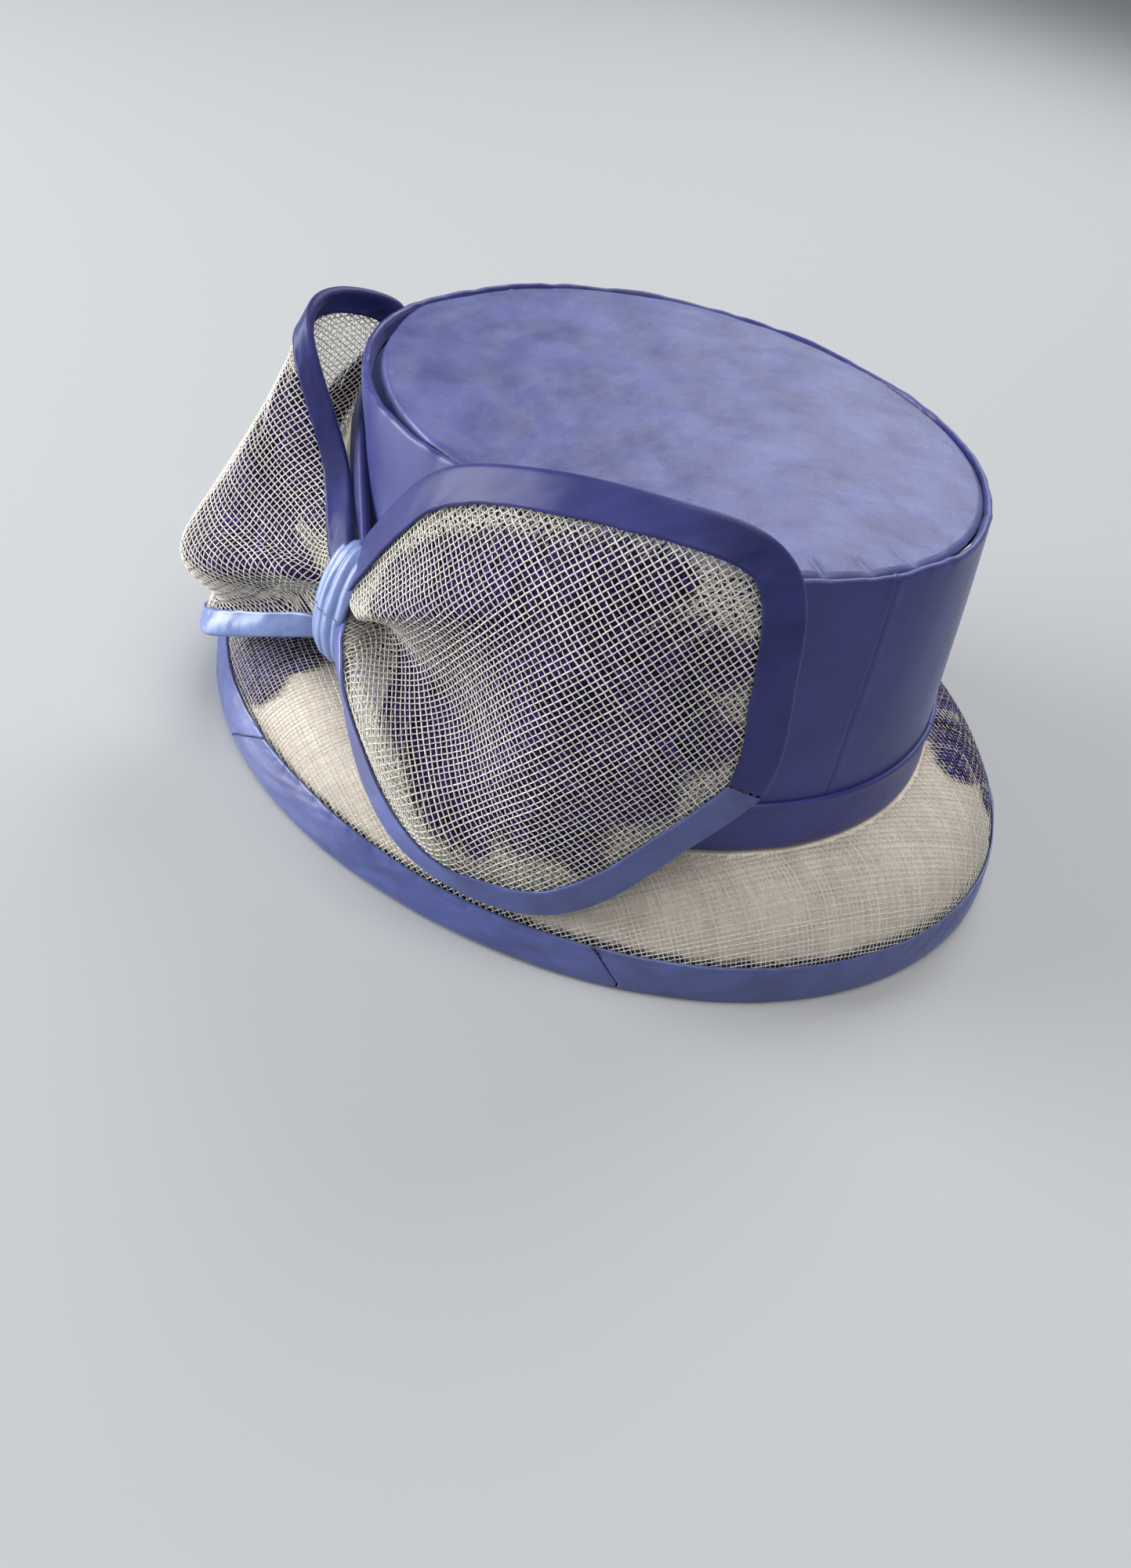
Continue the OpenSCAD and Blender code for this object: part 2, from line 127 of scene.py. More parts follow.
def noise(x, y, seed):
    """Smooth noise from -1 to 1 with bumps about one unit across."""
    table = np.random.default_rng(seed).uniform(-1, 1, (64, 64))
    x, y = np.broadcast_arrays(np.asarray(x, float), np.asarray(y, float))
    i, j = np.floor(x).astype(int), np.floor(y).astype(int)
    f, g = x - i, y - j
    f, g = f * f * (3 - 2 * f), g * g * (3 - 2 * g)
    a, b = table[i % 64, j % 64], table[(i + 1) % 64, j % 64]
    c, d = table[i % 64, (j + 1) % 64], table[(i + 1) % 64, (j + 1) % 64]
    return a + f * (b - a) + g * (c - a + f * (a - b - c + d))


def curve(points, t):
    """A smooth curve through points, at t from 0 to 1. Points may be rows of points."""
    p = np.asarray(points, float)
    n = len(p) - 1
    x = np.asarray(t, float) * n
    i = np.clip(np.floor(x).astype(int), 0, n - 1)
    f = (x - i).reshape(x.shape + (1,) * (p.ndim - 1))
    p = np.concatenate([[2 * p[0] - p[1]], p, [2 * p[n] - p[n - 1]]])
    a, b, c, d = p[i], p[i + 1], p[i + 2], p[i + 3]
    return b + 0.5 * f * (c - a + f * (2 * a - 5 * b + 4 * c - d + f * (3 * (b - c) + d - a)))


def closed_curve(points, t):
    """The same through a closed ring of points."""
    p = np.asarray(points, float)
    n = len(p)
    x = np.asarray(t, float) % 1 * n
    i = np.floor(x).astype(int) % n
    f = (x - np.floor(x))[..., None]
    a, b, c, d = p[i - 1], p[i], p[(i + 1) % n], p[(i + 2) % n]
    return b + 0.5 * f * (c - a + f * (2 * a - 5 * b + 4 * c - d + f * (3 * (b - c) + d - a)))


# ---- Meshes ------------------------------------------------------------------------

def fill_mesh(mesh, points, faces):
    """Fills a mesh from points and a list of arrays of faces, each with one count of corners."""
    corners = np.concatenate([np.asarray(f).ravel() for f in faces])
    counts = np.concatenate([np.full(len(f), np.shape(f)[1]) for f in faces])
    mesh.vertices.add(len(points))
    mesh.vertices.foreach_set("co", np.asarray(points, np.float32).ravel())
    mesh.loops.add(len(corners))
    mesh.loops.foreach_set("vertex_index", corners.astype(np.int32))
    mesh.polygons.add(len(counts))
    mesh.polygons.foreach_set("loop_start", np.concatenate([[0], np.cumsum(counts)[:-1]]).astype(np.int32))
    mesh.polygons.foreach_set("use_smooth", np.ones(len(counts), bool))
    mesh.update(calc_edges=True)


def piece(name, points, faces, material, nodes=(), cloth=None, tone=None, fix=True):
    """A shown piece of the hat. cloth holds each point's place along its cloth."""
    mesh = bpy.data.meshes.new(name)
    fill_mesh(mesh, points * MM, faces)
    if fix:
        work = bmesh.new()
        work.from_mesh(mesh)
        bmesh.ops.recalc_face_normals(work, faces=work.faces)
        work.to_mesh(mesh)
        work.free()
    if cloth is not None:
        layer = mesh.attributes.new("cloth", "FLOAT_VECTOR", "POINT")
        layer.data.foreach_set("vector", np.asarray(cloth, np.float32).ravel())
    if tone is not None:
        layer = mesh.attributes.new("tone", "FLOAT", "POINT")
        layer.data.foreach_set("value", np.asarray(tone, np.float32).ravel())
    mesh.materials.append(material)
    obj = bpy.data.objects.new(name, mesh)
    bpy.context.scene.collection.objects.link(obj)
    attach(obj, BODY)
    if nodes:
        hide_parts(*nodes)
    return obj


def grid_faces(rows, columns, closed=False, start=0):
    """Quads of a grid of points listed row by row; a closed one joins its last row to its first."""
    i, j = np.meshgrid(np.arange(rows if closed else rows - 1), np.arange(columns - 1), indexing="ij")
    k = (i + 1) % rows
    quads = np.stack([i * columns + j, i * columns + j + 1, k * columns + j + 1, k * columns + j], -1)
    return quads.reshape(-1, 4) + start


def layered(outer, inner, closed=False, hub=False):
    """Points and faces of a solid layer between two grids. A closed one runs round in rows,
    and a hub closes its first column with a point on each face."""
    rows, columns = outer.shape[:2]
    count = rows * columns
    points = np.concatenate([outer.reshape(-1, 3), inner.reshape(-1, 3)])
    i = np.arange(rows if closed else rows - 1)
    k = (i + 1) % rows
    last = columns - 1
    a, b = i * columns, k * columns
    walls = [np.stack([a + last, a + last + count, b + last + count, b + last], -1)]
    fans = []
    if hub:
        top, under = 2 * count, 2 * count + 1
        points = np.concatenate([points, [outer[:, 0].mean(0), inner[:, 0].mean(0)]])
        fans.append(np.stack([a, b, 0 * a + top], -1))
        fans.append(np.stack([b + count, a + count, 0 * a + under], -1))
    else:
        walls.append(np.stack([a, b, b + count, a + count], -1))
    if not closed:
        j = np.arange(columns - 1)
        end = (rows - 1) * columns
        walls.append(np.stack([j, j + count, j + 1 + count, j + 1], -1))
        walls.append(np.stack([end + j, end + j + 1, end + j + 1 + count, end + j + count], -1))
    faces = [grid_faces(rows, columns, closed), grid_faces(rows, columns, closed, count)[:, ::-1]]
    return points, faces + walls + fans


def cloth_coordinates(outer, along, across):
    """Each point's place along its cloth, for a layer's two grids."""
    flat = np.stack(np.broadcast_arrays(along, across, 0.0 * along), -1)
    flat = np.broadcast_to(flat, outer.shape).reshape(-1, 3)
    return np.concatenate([flat, flat])


def tube_mesh(paths, sides=4):
    """Points, faces and tones of closed threads. A path is (points, up, half width, half
    height, tone): flat threads lie with their height along up."""
    turn = 2 * math.pi * np.arange(sides) / sides
    by_length = {}
    for path in paths:
        by_length.setdefault(len(path[0]), []).append(path)
    points, quads, caps, tones = [], [], [], []
    start = 0
    for n, group in sorted(by_length.items()):
        many = len(group)
        route = np.stack([path[0] for path in group])
        up = np.stack([path[1] for path in group])
        wide = np.stack([np.broadcast_to(path[2], n) for path in group])[..., None, None]
        high = np.stack([np.broadcast_to(path[3], n) for path in group])[..., None, None]
        run = unit(np.gradient(route, axis=1))
        across = unit(np.cross(up, run))
        lift = np.cross(run, across)
        ring = (route[:, :, None] + wide * np.cos(turn)[:, None] * across[:, :, None]
                + high * np.sin(turn)[:, None] * lift[:, :, None])
        points.append(ring.reshape(-1, 3))
        first = start + np.arange(many)[:, None, None] * n * sides
        i, j = np.meshgrid(np.arange(n - 1), np.arange(sides), indexing="ij")
        k = (j + 1) % sides
        loop_quads = np.stack([i * sides + j, (i + 1) * sides + j, (i + 1) * sides + k, i * sides + k], -1)
        quads.append((first + loop_quads.reshape(1, -1, 4)).reshape(-1, 4))
        caps.append(first[:, 0] + np.arange(sides))
        caps.append(first[:, 0] + n * sides - 1 - np.arange(sides))
        tones.append(np.repeat([path[4] for path in group], n * sides))
        start += many * n * sides
    return np.concatenate(points), [np.concatenate(quads), np.concatenate(caps)], np.concatenate(tones)


def runs(mask, shortest=3):
    """First and one-past-last index of each run of True."""
    edges = np.flatnonzero(np.diff(np.concatenate([[0], mask.astype(int), [0]])))
    return [(a, b) for a, b in zip(edges[::2], edges[1::2]) if b - a >= shortest]


# ---- Surfaces ----------------------------------------------------------------------

def crown(a, z, off):
    """A point on the crown's side: direction, height and distance off it."""
    a, z, off = np.broadcast_arrays(np.asarray(a, float), np.asarray(z, float), np.asarray(off, float))
    k = z / CROWN_H
    return np.stack([(BASE[0] + (TIP[0] - BASE[0]) * k + off) * cosd(a),
                     (BASE[1] + (TIP[1] - BASE[1]) * k + off) * sind(a), z], -1)


def rim_bulge(a):
    """How far the satin stands out at the rim on the side of the bow's loop."""
    return BULGE * smooth(48, 12, np.abs(a - BULGE_AT))


def brim(a, t, off):
    """A point on the brim: direction, angle round its curve and distance off it."""
    a, t, off = np.broadcast_arrays(np.asarray(a, float), np.asarray(t, float), np.asarray(off, float))
    s = sind(t)
    slope = np.hypot(BRIM_DROP * s, BRIM_REACH * cosd(t))
    nr, nz = BRIM_DROP * s / slope, BRIM_REACH * cosd(t) / slope
    rx = ROOT[0] + (BRIM_EDGE[0] - ROOT[0]) * s + off * nr
    ry = ROOT[1] + (BRIM_EDGE[1] - ROOT[1]) * s + off * nr
    return np.stack([rx * cosd(a) + BRIM_SHIFT[0] * s, ry * sind(a) + BRIM_SHIFT[1] * s,
                     BRIM_DROP * (cosd(t) - 1) + off * nz], -1)


PETAL_CENTRE = np.array([8.0, -98.0, 44.0])
PETAL_LEAN = 14.0
PETAL_V = np.array([0, sind(PETAL_LEAN), cosd(PETAL_LEAN)])
PETAL_W = np.array([0, -cosd(PETAL_LEAN), sind(PETAL_LEAN)])
PETAL_WRAP, PETAL_FLARE, PETAL_DOME = 100.0, 150.0, 12.0
PETAL_MID = np.array([-5.0, 0.0])
PETAL_EDGE = [[-77, -8], [-63, 20], [-44.5, 43], [-14, 55], [14, 59], [36, 58.5], [48.5, 48],
              [54.5, 23.5], [58, -3], [46, -24], [27.5, -51], [5, -62], [-27.5, -60.5], [-50.5, -44],
              [-68, -20]]
PETAL_KINK = 8.15 / 15

EDGE_COUNT = 720


def soft_edge():
    """The petal's edge, its corners rounded except at the kink and at the knot."""
    t = np.arange(EDGE_COUNT) / EDGE_COUNT
    ring = closed_curve(PETAL_EDGE, t)
    span = np.arange(-30, 31)
    weight = np.exp(-(span / 14.0) ** 2)
    soft = sum(w * np.roll(ring, -k, axis=0) for k, w in zip(span, weight)) / weight.sum()
    sharp = np.exp(-((t - PETAL_KINK) / 0.012) ** 2) + np.exp(-(np.minimum(t, 1 - t) / 0.03) ** 2)
    return ring + (1 - np.clip(sharp, 0, 1))[:, None] * (soft - ring)


petal_ring = soft_edge()
edge_points = petal_ring - PETAL_MID
edge_turn = np.arctan2(edge_points[:, 1], edge_points[:, 0])
edge_order = np.argsort(edge_turn)
edge_turn, edge_reach = edge_turn[edge_order], np.hypot(*edge_points.T)[edge_order]


def petal_rim(t):
    """A point on the petal's edge, t from 0 to 1 round it from the knot."""
    x = np.asarray(t, float) % 1 * EDGE_COUNT
    steps = np.arange(EDGE_COUNT)
    return np.stack([np.interp(x, steps, petal_ring[:, k], period=EDGE_COUNT) for k in (0, 1)], -1)


def petal_share(u, v):
    """How far out of the petal's middle a point is: 1 on its edge."""
    x, y = u - PETAL_MID[0], v - PETAL_MID[1]
    reach = np.interp(np.arctan2(y, x), edge_turn, edge_reach, period=2 * math.pi)
    return np.hypot(x, y) / reach


def petal_folds(u, v):
    """Depth of the hollow that runs out of the knot, with a rolled ridge below it."""
    hollow = -8.0 - 0.16 * (u + 55)                 # the fold's lowest line
    crease = np.maximum(-6.0 + 0.65 * (u + 62), hollow + 2.5)
    ridge = np.minimum(-15.5 - 0.62 * (u + 59), hollow - 6)
    width = np.where(v > hollow, crease - hollow, hollow - ridge)
    g = np.clip(np.abs(v - hollow) / width, 0, 1)
    deep = 14.0 * smooth(10, -28, u) * smooth(-76, -54, u)
    fold = -deep * (1 - g * g) ** 1.6
    roll = 4.5 * np.exp(-((v - ridge + 4) / 7.5) ** 2) * smooth(5, -25, u) * smooth(-74, -60, u)
    lip = 1.8 * np.exp(-((v - crease - 4) / 6.0) ** 2) * smooth(-10, -40, u) * smooth(-76, -64, u)
    turn = np.degrees(np.arctan2(v + 8, u + 80))
    away = np.hypot(u + 80, v + 8)
    pleats = 0.7 * np.sin(np.radians(turn * 9 + 40)) * smooth(10, 24, away) * smooth(70, 30, away)
    return fold + roll + lip + pleats + 0.5 * noise(u / 17, v / 17, 5)


def petal(u, v):
    """A point on the petal's middle surface."""
    u, v = np.broadcast_arrays(np.asarray(u, float), np.asarray(v, float))
    f = petal_share(u, v)
    bend = 1 + np.minimum(v, 0) / PETAL_FLARE
    near_edge = smooth(1.02, 0.9, f)
    rise = PETAL_DOME * (1 - f * f) - bend * u * u / (2 * PETAL_WRAP)
    rise = rise + petal_folds(u, v) * (0.35 + 0.65 * near_edge) * smooth(1.15, 0.97, f)
    return (PETAL_CENTRE + u[..., None] * np.array([1.0, 0, 0]) + v[..., None] * PETAL_V
            + rise[..., None] * PETAL_W)


LOOP_ROWS = np.array([
    [[-67.5, -77.8, 17], [-67.5, -77.6, 26], [-66.5, -77.2, 36], [-63, -75.8, 45.5]],
    [[-92, -80, 6.5], [-98, -80, 24], [-97, -66, 44], [-81.5, -50.5, 55]],
    [[-109, -80, -1], [-117, -72, 21], [-112, -58, 56], [-102, -40, 85]],
    [[-115.5, -66, -7], [-121.5, -54, 22], [-116, -38, 58], [-105, -22, 90]],
    [[-107, -48, 0], [-110, -34, 24], [-103, -16, 54], [-93, -4, 82]],
    [[-97, -50, 8], [-97, -42, 26], [-92, -35, 46], [-86.5, -34, 68]],
    [[-64.8, -75.5, 17], [-64.8, -75, 26], [-62.8, -74, 36], [-59.8, -73, 45.5]]])


def grid_curve(rows, s, w):
    """The surface through rows of points, at shares s along them and w across them."""
    n, m = rows.shape[0] - 1, rows.shape[1] - 1
    p = np.concatenate([[2 * rows[0] - rows[1]], rows, [2 * rows[n] - rows[n - 1]]])
    p = np.concatenate([2 * p[:, :1] - p[:, 1:2], p, 2 * p[:, m:m + 1] - p[:, m - 1:m]], 1)

    def weights(x, count):
        i = np.clip(np.floor(x * count).astype(int), 0, count - 1)
        f = x * count - i
        return i, [0.5 * f * (-1 + f * (2 - f)), 1 + 0.5 * f * f * (3 * f - 5),
                   0.5 * f * (1 + f * (4 - 3 * f)), 0.5 * f * f * (f - 1)]

    i, a = weights(s, n)
    j, b = weights(w, m)
    return sum((a[k] * b[q])[..., None] * p[i + k, j + q] for k in range(4) for q in range(4))


def loop_folds(s, w):
    """Height of the loop's folds: a deep crease out of the knot and a soft ridge above it."""
    line = 0.60 - 1.6 * s + 2.6 * s * s              # the crease, across the front layer
    g = (w - line) / (0.05 + 0.25 * s)
    front = smooth(0.46, 0.30, s) * smooth(0.015, 0.07, s)
    crease = -6.5 * front * np.exp(-g * g)
    below = 3.5 * front * np.exp(-((w - line + 0.24) / 0.13) ** 2)
    above = 2.4 * front * np.exp(-((w - 0.73) / 0.07) ** 2) * smooth(0.40, 0.28, s)
    full = smooth(0.15, 0.42, s) * smooth(0.75, 0.50, s)       # the cloth swells where it turns back
    swell = 3.4 * full * (np.exp(-((w - 0.20) / 0.15) ** 2) + np.exp(-((w - 0.72) / 0.22) ** 2))
    return crease + below + above + swell


def loop_flat(s, w):
    s, w = np.broadcast_arrays(np.asarray(s, float), np.asarray(w, float))
    return grid_curve(LOOP_ROWS, np.clip(s, 0, 1), w)


def normal_of(surface, u, v, du, dv):
    """The outward normal of surface(u, v), by small steps du and dv."""
    return unit(np.cross(surface(u + du, v) - surface(u - du, v), surface(u, v + dv) - surface(u, v - dv)))


def loop(s, w):
    """A point on the loop's middle surface."""
    s, w = np.broadcast_arrays(np.asarray(s, float), np.asarray(w, float))
    out = normal_of(loop_flat, s, w, 0.01, 0.01)
    edge = smooth(0.0, 0.14, w) * smooth(1.0, 0.86, w)
    return loop_flat(s, w) + (edge * (loop_folds(s, w) + 0.5 * noise(s * 14, w * 6, 8)))[..., None] * out


# ---- Laying cloth on a surface -----------------------------------------------------

def lookup(field, us, vs, u, v):
    """A field on a regular grid, read between its points."""
    x = np.clip((u - us[0]) / (us[1] - us[0]), 0, len(us) - 1.001)
    y = np.clip((v - vs[0]) / (vs[1] - vs[0]), 0, len(vs) - 1.001)
    i, j = x.astype(int), y.astype(int)
    f, g = x - i, y - j
    return ((1 - f) * (1 - g) * field[i, j] + f * (1 - g) * field[i + 1, j]
            + (1 - f) * g * field[i, j + 1] + f * g * field[i + 1, j + 1])


def drape(surface, us, vs, u_ref, v_ref):
    """How flat cloth lies on a surface: a function from places on the cloth, measured along
    the surface from (u_ref, v_ref), to the surface's own (u, v)."""
    grid = surface(*np.meshgrid(us, vs, indexing="ij"))
    i, j = np.abs(us - u_ref).argmin(), np.abs(vs - v_ref).argmin()
    along = np.zeros(grid.shape[:2])
    across = np.zeros(grid.shape[:2])
    along[1:] = np.cumsum(np.linalg.norm(np.diff(grid, axis=0), axis=-1), 0)
    across[:, 1:] = np.cumsum(np.linalg.norm(np.diff(grid, axis=1), axis=-1), 1)
    along -= along[i:i + 1]
    across -= across[:, j:j + 1]
    au, av = np.gradient(along, us, vs)
    bu, bv = np.gradient(across, us, vs)

    def place(x, y):
        u = np.interp(x, along[:, j], us)
        v = np.interp(y, across[i], vs)
        for _ in range(14):
            p, q, r, t = (lookup(m, us, vs, u, v) for m in (au, av, bu, bv))
            ex = x - lookup(along, us, vs, u, v)
            ey = y - lookup(across, us, vs, u, v)
            det = p * t - q * r
            det = np.where(np.abs(det) < 1e-3, 1e-3, det)
            u = np.clip(u + 0.8 * (t * ex - q * ey) / det, us[0], us[-1])
            v = np.clip(v + 0.8 * (p * ey - r * ex) / det, vs[0], vs[-1])
        missed = np.hypot(x - lookup(along, us, vs, u, v), y - lookup(across, us, vs, u, v))
        return u, v, missed < 0.5

    return place


def net_paths(lay, reach, grain, seed, pitch, half_w, half_h, wave=0.16, off=0.0):
    """Threads of an open plain weave. lay(x, y) gives a place's point, its normal and
    whether it is on the cloth; reach is how far the cloth runs each way."""
    rng = np.random.default_rng(seed)
    count = int(reach / pitch)
    beads = np.arange(-2 * count, 2 * count + 1) * pitch / 2
    paths = []
    for way in (0, 1):
        turn = math.radians(grain + 90 * way)
        number = np.arange(-count, count + 1)
        drift = rng.normal(0, 0.06, len(number))
        phase = rng.uniform(0, 2 * math.pi, (2, len(number), 1))
        fat = rng.uniform(0.85, 1.2, len(number))
        tone = rng.uniform(0, 1, len(number))
        side = (number * pitch + drift)[:, None]
        side = side + 0.09 * np.sin(beads / 9.3 + phase[0]) + 0.05 * np.sin(beads / 3.1 + phase[1])
        x = beads * math.cos(turn) - side * math.sin(turn)
        y = beads * math.sin(turn) + side * math.cos(turn)
        points, normals, inside = lay(x, y)
        over = np.cos(math.pi * (beads / pitch + number[:, None])) * (1 - 2 * way)
        points = points + normals * (off + wave * over)[..., None]
        for k in range(len(number)):
            for a, b in runs(inside[k]):
                paths.append((points[k, a:b], normals[k, a:b], half_w * fat[k], half_h, tone[k]))
    return paths


def lay_on(surface, place, inside, du, dv):
    """Puts flat places on a surface by way of place, where inside(u, v) is true."""
    def lay(x, y):
        u, v, found = place(x, y)
        return surface(u, v), normal_of(surface, u, v, du, dv), found & inside(u, v)
    return lay


brim_turns = np.linspace(0, 90, 91)
brim_steps = np.linalg.norm(np.diff(brim(-60.0, brim_turns, 0.0), axis=0), axis=1)
brim_run = np.concatenate([[0], np.cumsum(brim_steps)])   # length out from the crown at each turn


def lay_on_brim(off, low, high):
    """Puts flat places on the brim: the cloth keeps its length outwards from the crown."""
    def lay(x, y):
        turn = np.arctan2(y, x)
        root = 1 / np.hypot(np.cos(turn) / ROOT[0], np.sin(turn) / ROOT[1])
        t = np.interp(np.hypot(x, y) - root, brim_run, brim_turns, left=-1, right=99)
        a = np.degrees(np.arctan2(y / ROOT[1], x / ROOT[0]))
        spot = brim(a, np.clip(t, 0, 90), off)
        return spot, unit(brim(a, np.clip(t, 0, 90), off + 1.0) - spot), (t > low) & (t < high)
    return lay


# ---- Materials ---------------------------------------------------------------------

class Paint:
    """A material's nodes, with short names for the few kinds used here."""

    def __init__(self, name, color, roughness, **settings):
        self.material = bpy.data.materials.new(name)
        self.material.use_nodes = True
        self.tree = self.material.node_tree
        self.shader = self.tree.nodes["Principled BSDF"]
        self.set(self.shader, "Base Color", (*color, 1))
        self.set(self.shader, "Roughness", roughness)
        for key, value in settings.items():
            self.set(self.shader, key.replace("_", " "), value)
        self.material.diffuse_color = (*color, 1)

    def set(self, node, socket, value):
        node.inputs[socket].default_value = value

    def feed(self, socket, value):
        """Links a socket to an output, or sets it to a value."""
        if isinstance(value, bpy.types.NodeSocket):
            self.tree.links.new(value, socket)
        else:
            socket.default_value = value

    def node(self, kind, **inputs):
        node = self.tree.nodes.new(kind)
        for key, value in inputs.items():
            self.feed(node.inputs[key.replace("_", " ")], value)
        return node

    def attribute(self, name, output="Vector"):
        node = self.node("ShaderNodeAttribute")
        node.attribute_name = name
        return node.outputs[output]

    def place(self):
        return self.node("ShaderNodeTexCoord").outputs["Object"]

    def stretched(self, vector, scale):
        return self.node("ShaderNodeMapping", Vector=vector, Scale=scale).outputs["Vector"]

    def noise(self, vector, scale, detail=2.0, roughness=0.5):
        node = self.node("ShaderNodeTexNoise", Vector=vector, Scale=scale, Detail=detail, Roughness=roughness)
        return node.outputs["Fac"]

    def ramp(self, value, stops):
        node = self.node("ShaderNodeValToRGB", Fac=value)
        elements = node.color_ramp.elements
        while len(elements) < len(stops):
            elements.new(0.5)
        for element, (position, color) in zip(elements, stops):
            element.position = position
            element.color = (*color, 1)
        return node.outputs["Color"]

    def grey(self, value, low, high, a=0.0, b=1.0):
        node = self.node("ShaderNodeMapRange", Value=value, From_Min=low, From_Max=high, To_Min=a, To_Max=b)
        return node.outputs["Result"]

    def add(self, a, b, kind="ADD"):
        node = self.tree.nodes.new("ShaderNodeMath")
        node.operation = kind
        for socket, value in zip(node.inputs, (a, b)):
            self.feed(socket, value)
        return node.outputs["Value"]

    def blend(self, share, a, color):
        """The output a, turned to a plain colour by share."""
        node = self.tree.nodes.new("ShaderNodeMix")
        node.data_type = "RGBA"
        color_a, color_b = node.inputs[6], node.inputs[7]
        self.feed(node.inputs["Factor"], share)
        self.feed(color_a, a)
        self.feed(color_b, (*color, 1))
        return node.outputs[2]

    def to(self, socket, value):
        self.tree.links.new(value, self.shader.inputs[socket])

    def bump(self, height, distance, strength=1.0):
        node = self.node("ShaderNodeBump", Height=height, Distance=distance * MM, Strength=strength)
        self.to("Normal", node.outputs["Normal"])


def satin(name, deep, light, gloss, crinkle, grain, streak=0.75, roughness=0.42):
    """Slubbed satin: fine floats along the cloth, cross ribs and soft crumpling. Its gloss
    spreads up and down, across the floats, by the share streak."""
    paint = Paint(name, light, roughness, Specular_IOR_Level=gloss, Sheen_Weight=0.15,
                  Sheen_Roughness=0.35, Sheen_Tint=(0.55, 0.68, 1.0, 1.0))
    if streak:
        paint.set(paint.shader, "Anisotropic", streak)
        paint.to("Tangent", paint.node("ShaderNodeCombineXYZ", Z=1.0).outputs["Vector"])
    cloth = paint.attribute("cloth")
    broad = paint.noise(cloth, 0.05, 3.0, 0.55)
    slub = paint.noise(paint.stretched(cloth, (0.16, 3.2, 1.0)), 1.0, 3.0, 0.6)
    cross = paint.noise(paint.stretched(cloth, (2.6, 0.22, 1.0)), 1.0, 2.0, 0.6)
    crumple = paint.noise(cloth, 0.07, 3.0, 0.45)
    mixed = paint.add(paint.add(broad, 0.75, "MULTIPLY"), paint.add(slub, 0.25, "MULTIPLY"))
    paint.to("Base Color", paint.ramp(mixed, [(0.38, deep), (0.62, light)]))
    paint.to("Roughness", paint.grey(slub, 0.3, 0.7, roughness - 0.03, roughness + 0.05))
    ribs = paint.add(slub, paint.add(cross, 0.7, "MULTIPLY"))
    sparkle = paint.noise(cloth, 2.4, 2.0, 0.7)
    ribs = paint.add(ribs, paint.add(sparkle, 1.2, "MULTIPLY"))
    height = paint.add(paint.add(ribs, grain, "MULTIPLY"), paint.add(crumple, crinkle, "MULTIPLY"))
    paint.bump(height, 0.5)
    return paint.material


def straw_thread(name, deep, light):
    """Straw fibre: each thread has its own tone, with flecks along it."""
    paint = Paint(name, light, 0.42, Specular_IOR_Level=0.5)
    fleck = paint.noise(paint.place(), 900.0, 2.0, 0.6)
    tone = paint.add(paint.add(paint.attribute("tone", "Fac"), 0.35, "MULTIPLY"),
                     paint.add(fleck, 0.65, "MULTIPLY"))
    paint.to("Base Color", paint.ramp(tone, [(0.25, deep), (0.7, light)]))
    return paint.material


def dense_straw(name, deep, light, dark):
    """Close straw cloth: crossed threads as ribs, uneven in tone, and turned to the colour dark by the tone
    attribute, as painted shade.
    """
    paint = Paint(name, light, 0.55, Specular_IOR_Level=0.4)
    cloth = paint.attribute("cloth")
    warp = paint.noise(paint.stretched(cloth, (0.9, 0.12, 1.0)), 1.0, 1.0, 0.4)
    weft = paint.noise(paint.stretched(cloth, (0.12, 0.9, 1.0)), 1.0, 1.0, 0.4)
    broad = paint.noise(cloth, 0.06, 2.0, 0.5)
    weave = paint.add(warp, weft, "MAXIMUM")
    mixed = paint.add(paint.add(weave, 0.55, "MULTIPLY"), paint.add(broad, 0.45, "MULTIPLY"))
    color = paint.ramp(mixed, [(0.40, deep), (0.64, light)])
    # Painted shade: the tone attribute blends in the dark colour.
    paint.to("Base Color", paint.blend(paint.attribute("tone", "Fac"), color, dark))
    paint.bump(weave, 0.25)
    return paint.material


def plume(name, deep, light):
    """Dyed feather: dark barbs with a purple gleam."""
    paint = Paint(name, light, 0.6, Specular_IOR_Level=0.15, Sheen_Weight=0.05, Sheen_Roughness=0.4,
                  Sheen_Tint=(0.55, 0.40, 1.0, 1.0))
    tone = paint.add(paint.attribute("tone", "Fac"), paint.noise(paint.place(), 90.0, 2.0, 0.5), "MULTIPLY")
    paint.to("Base Color", paint.ramp(tone, [(0.12, deep), (0.45, light)]))
    return paint.material


def plain_cloth(name, deep, light, roughness, ribs=900.0, depth=0.1):
    """Plain woven cloth, or ribbon where it has more ribs to the metre up it than along it."""
    paint = Paint(name, light, roughness, Specular_IOR_Level=0.3)
    place = paint.place()
    weave = paint.noise(paint.stretched(place, (900.0, 900.0, ribs)), 1.0, 2.0, 0.6)
    broad = paint.noise(place, 35.0, 2.0, 0.5)
    mixed = paint.add(paint.add(weave, 0.5, "MULTIPLY"), paint.add(broad, 0.5, "MULTIPLY"))
    paint.to("Base Color", paint.ramp(mixed, [(0.35, deep), (0.65, light)]))
    paint.bump(weave, depth)
    return paint.material
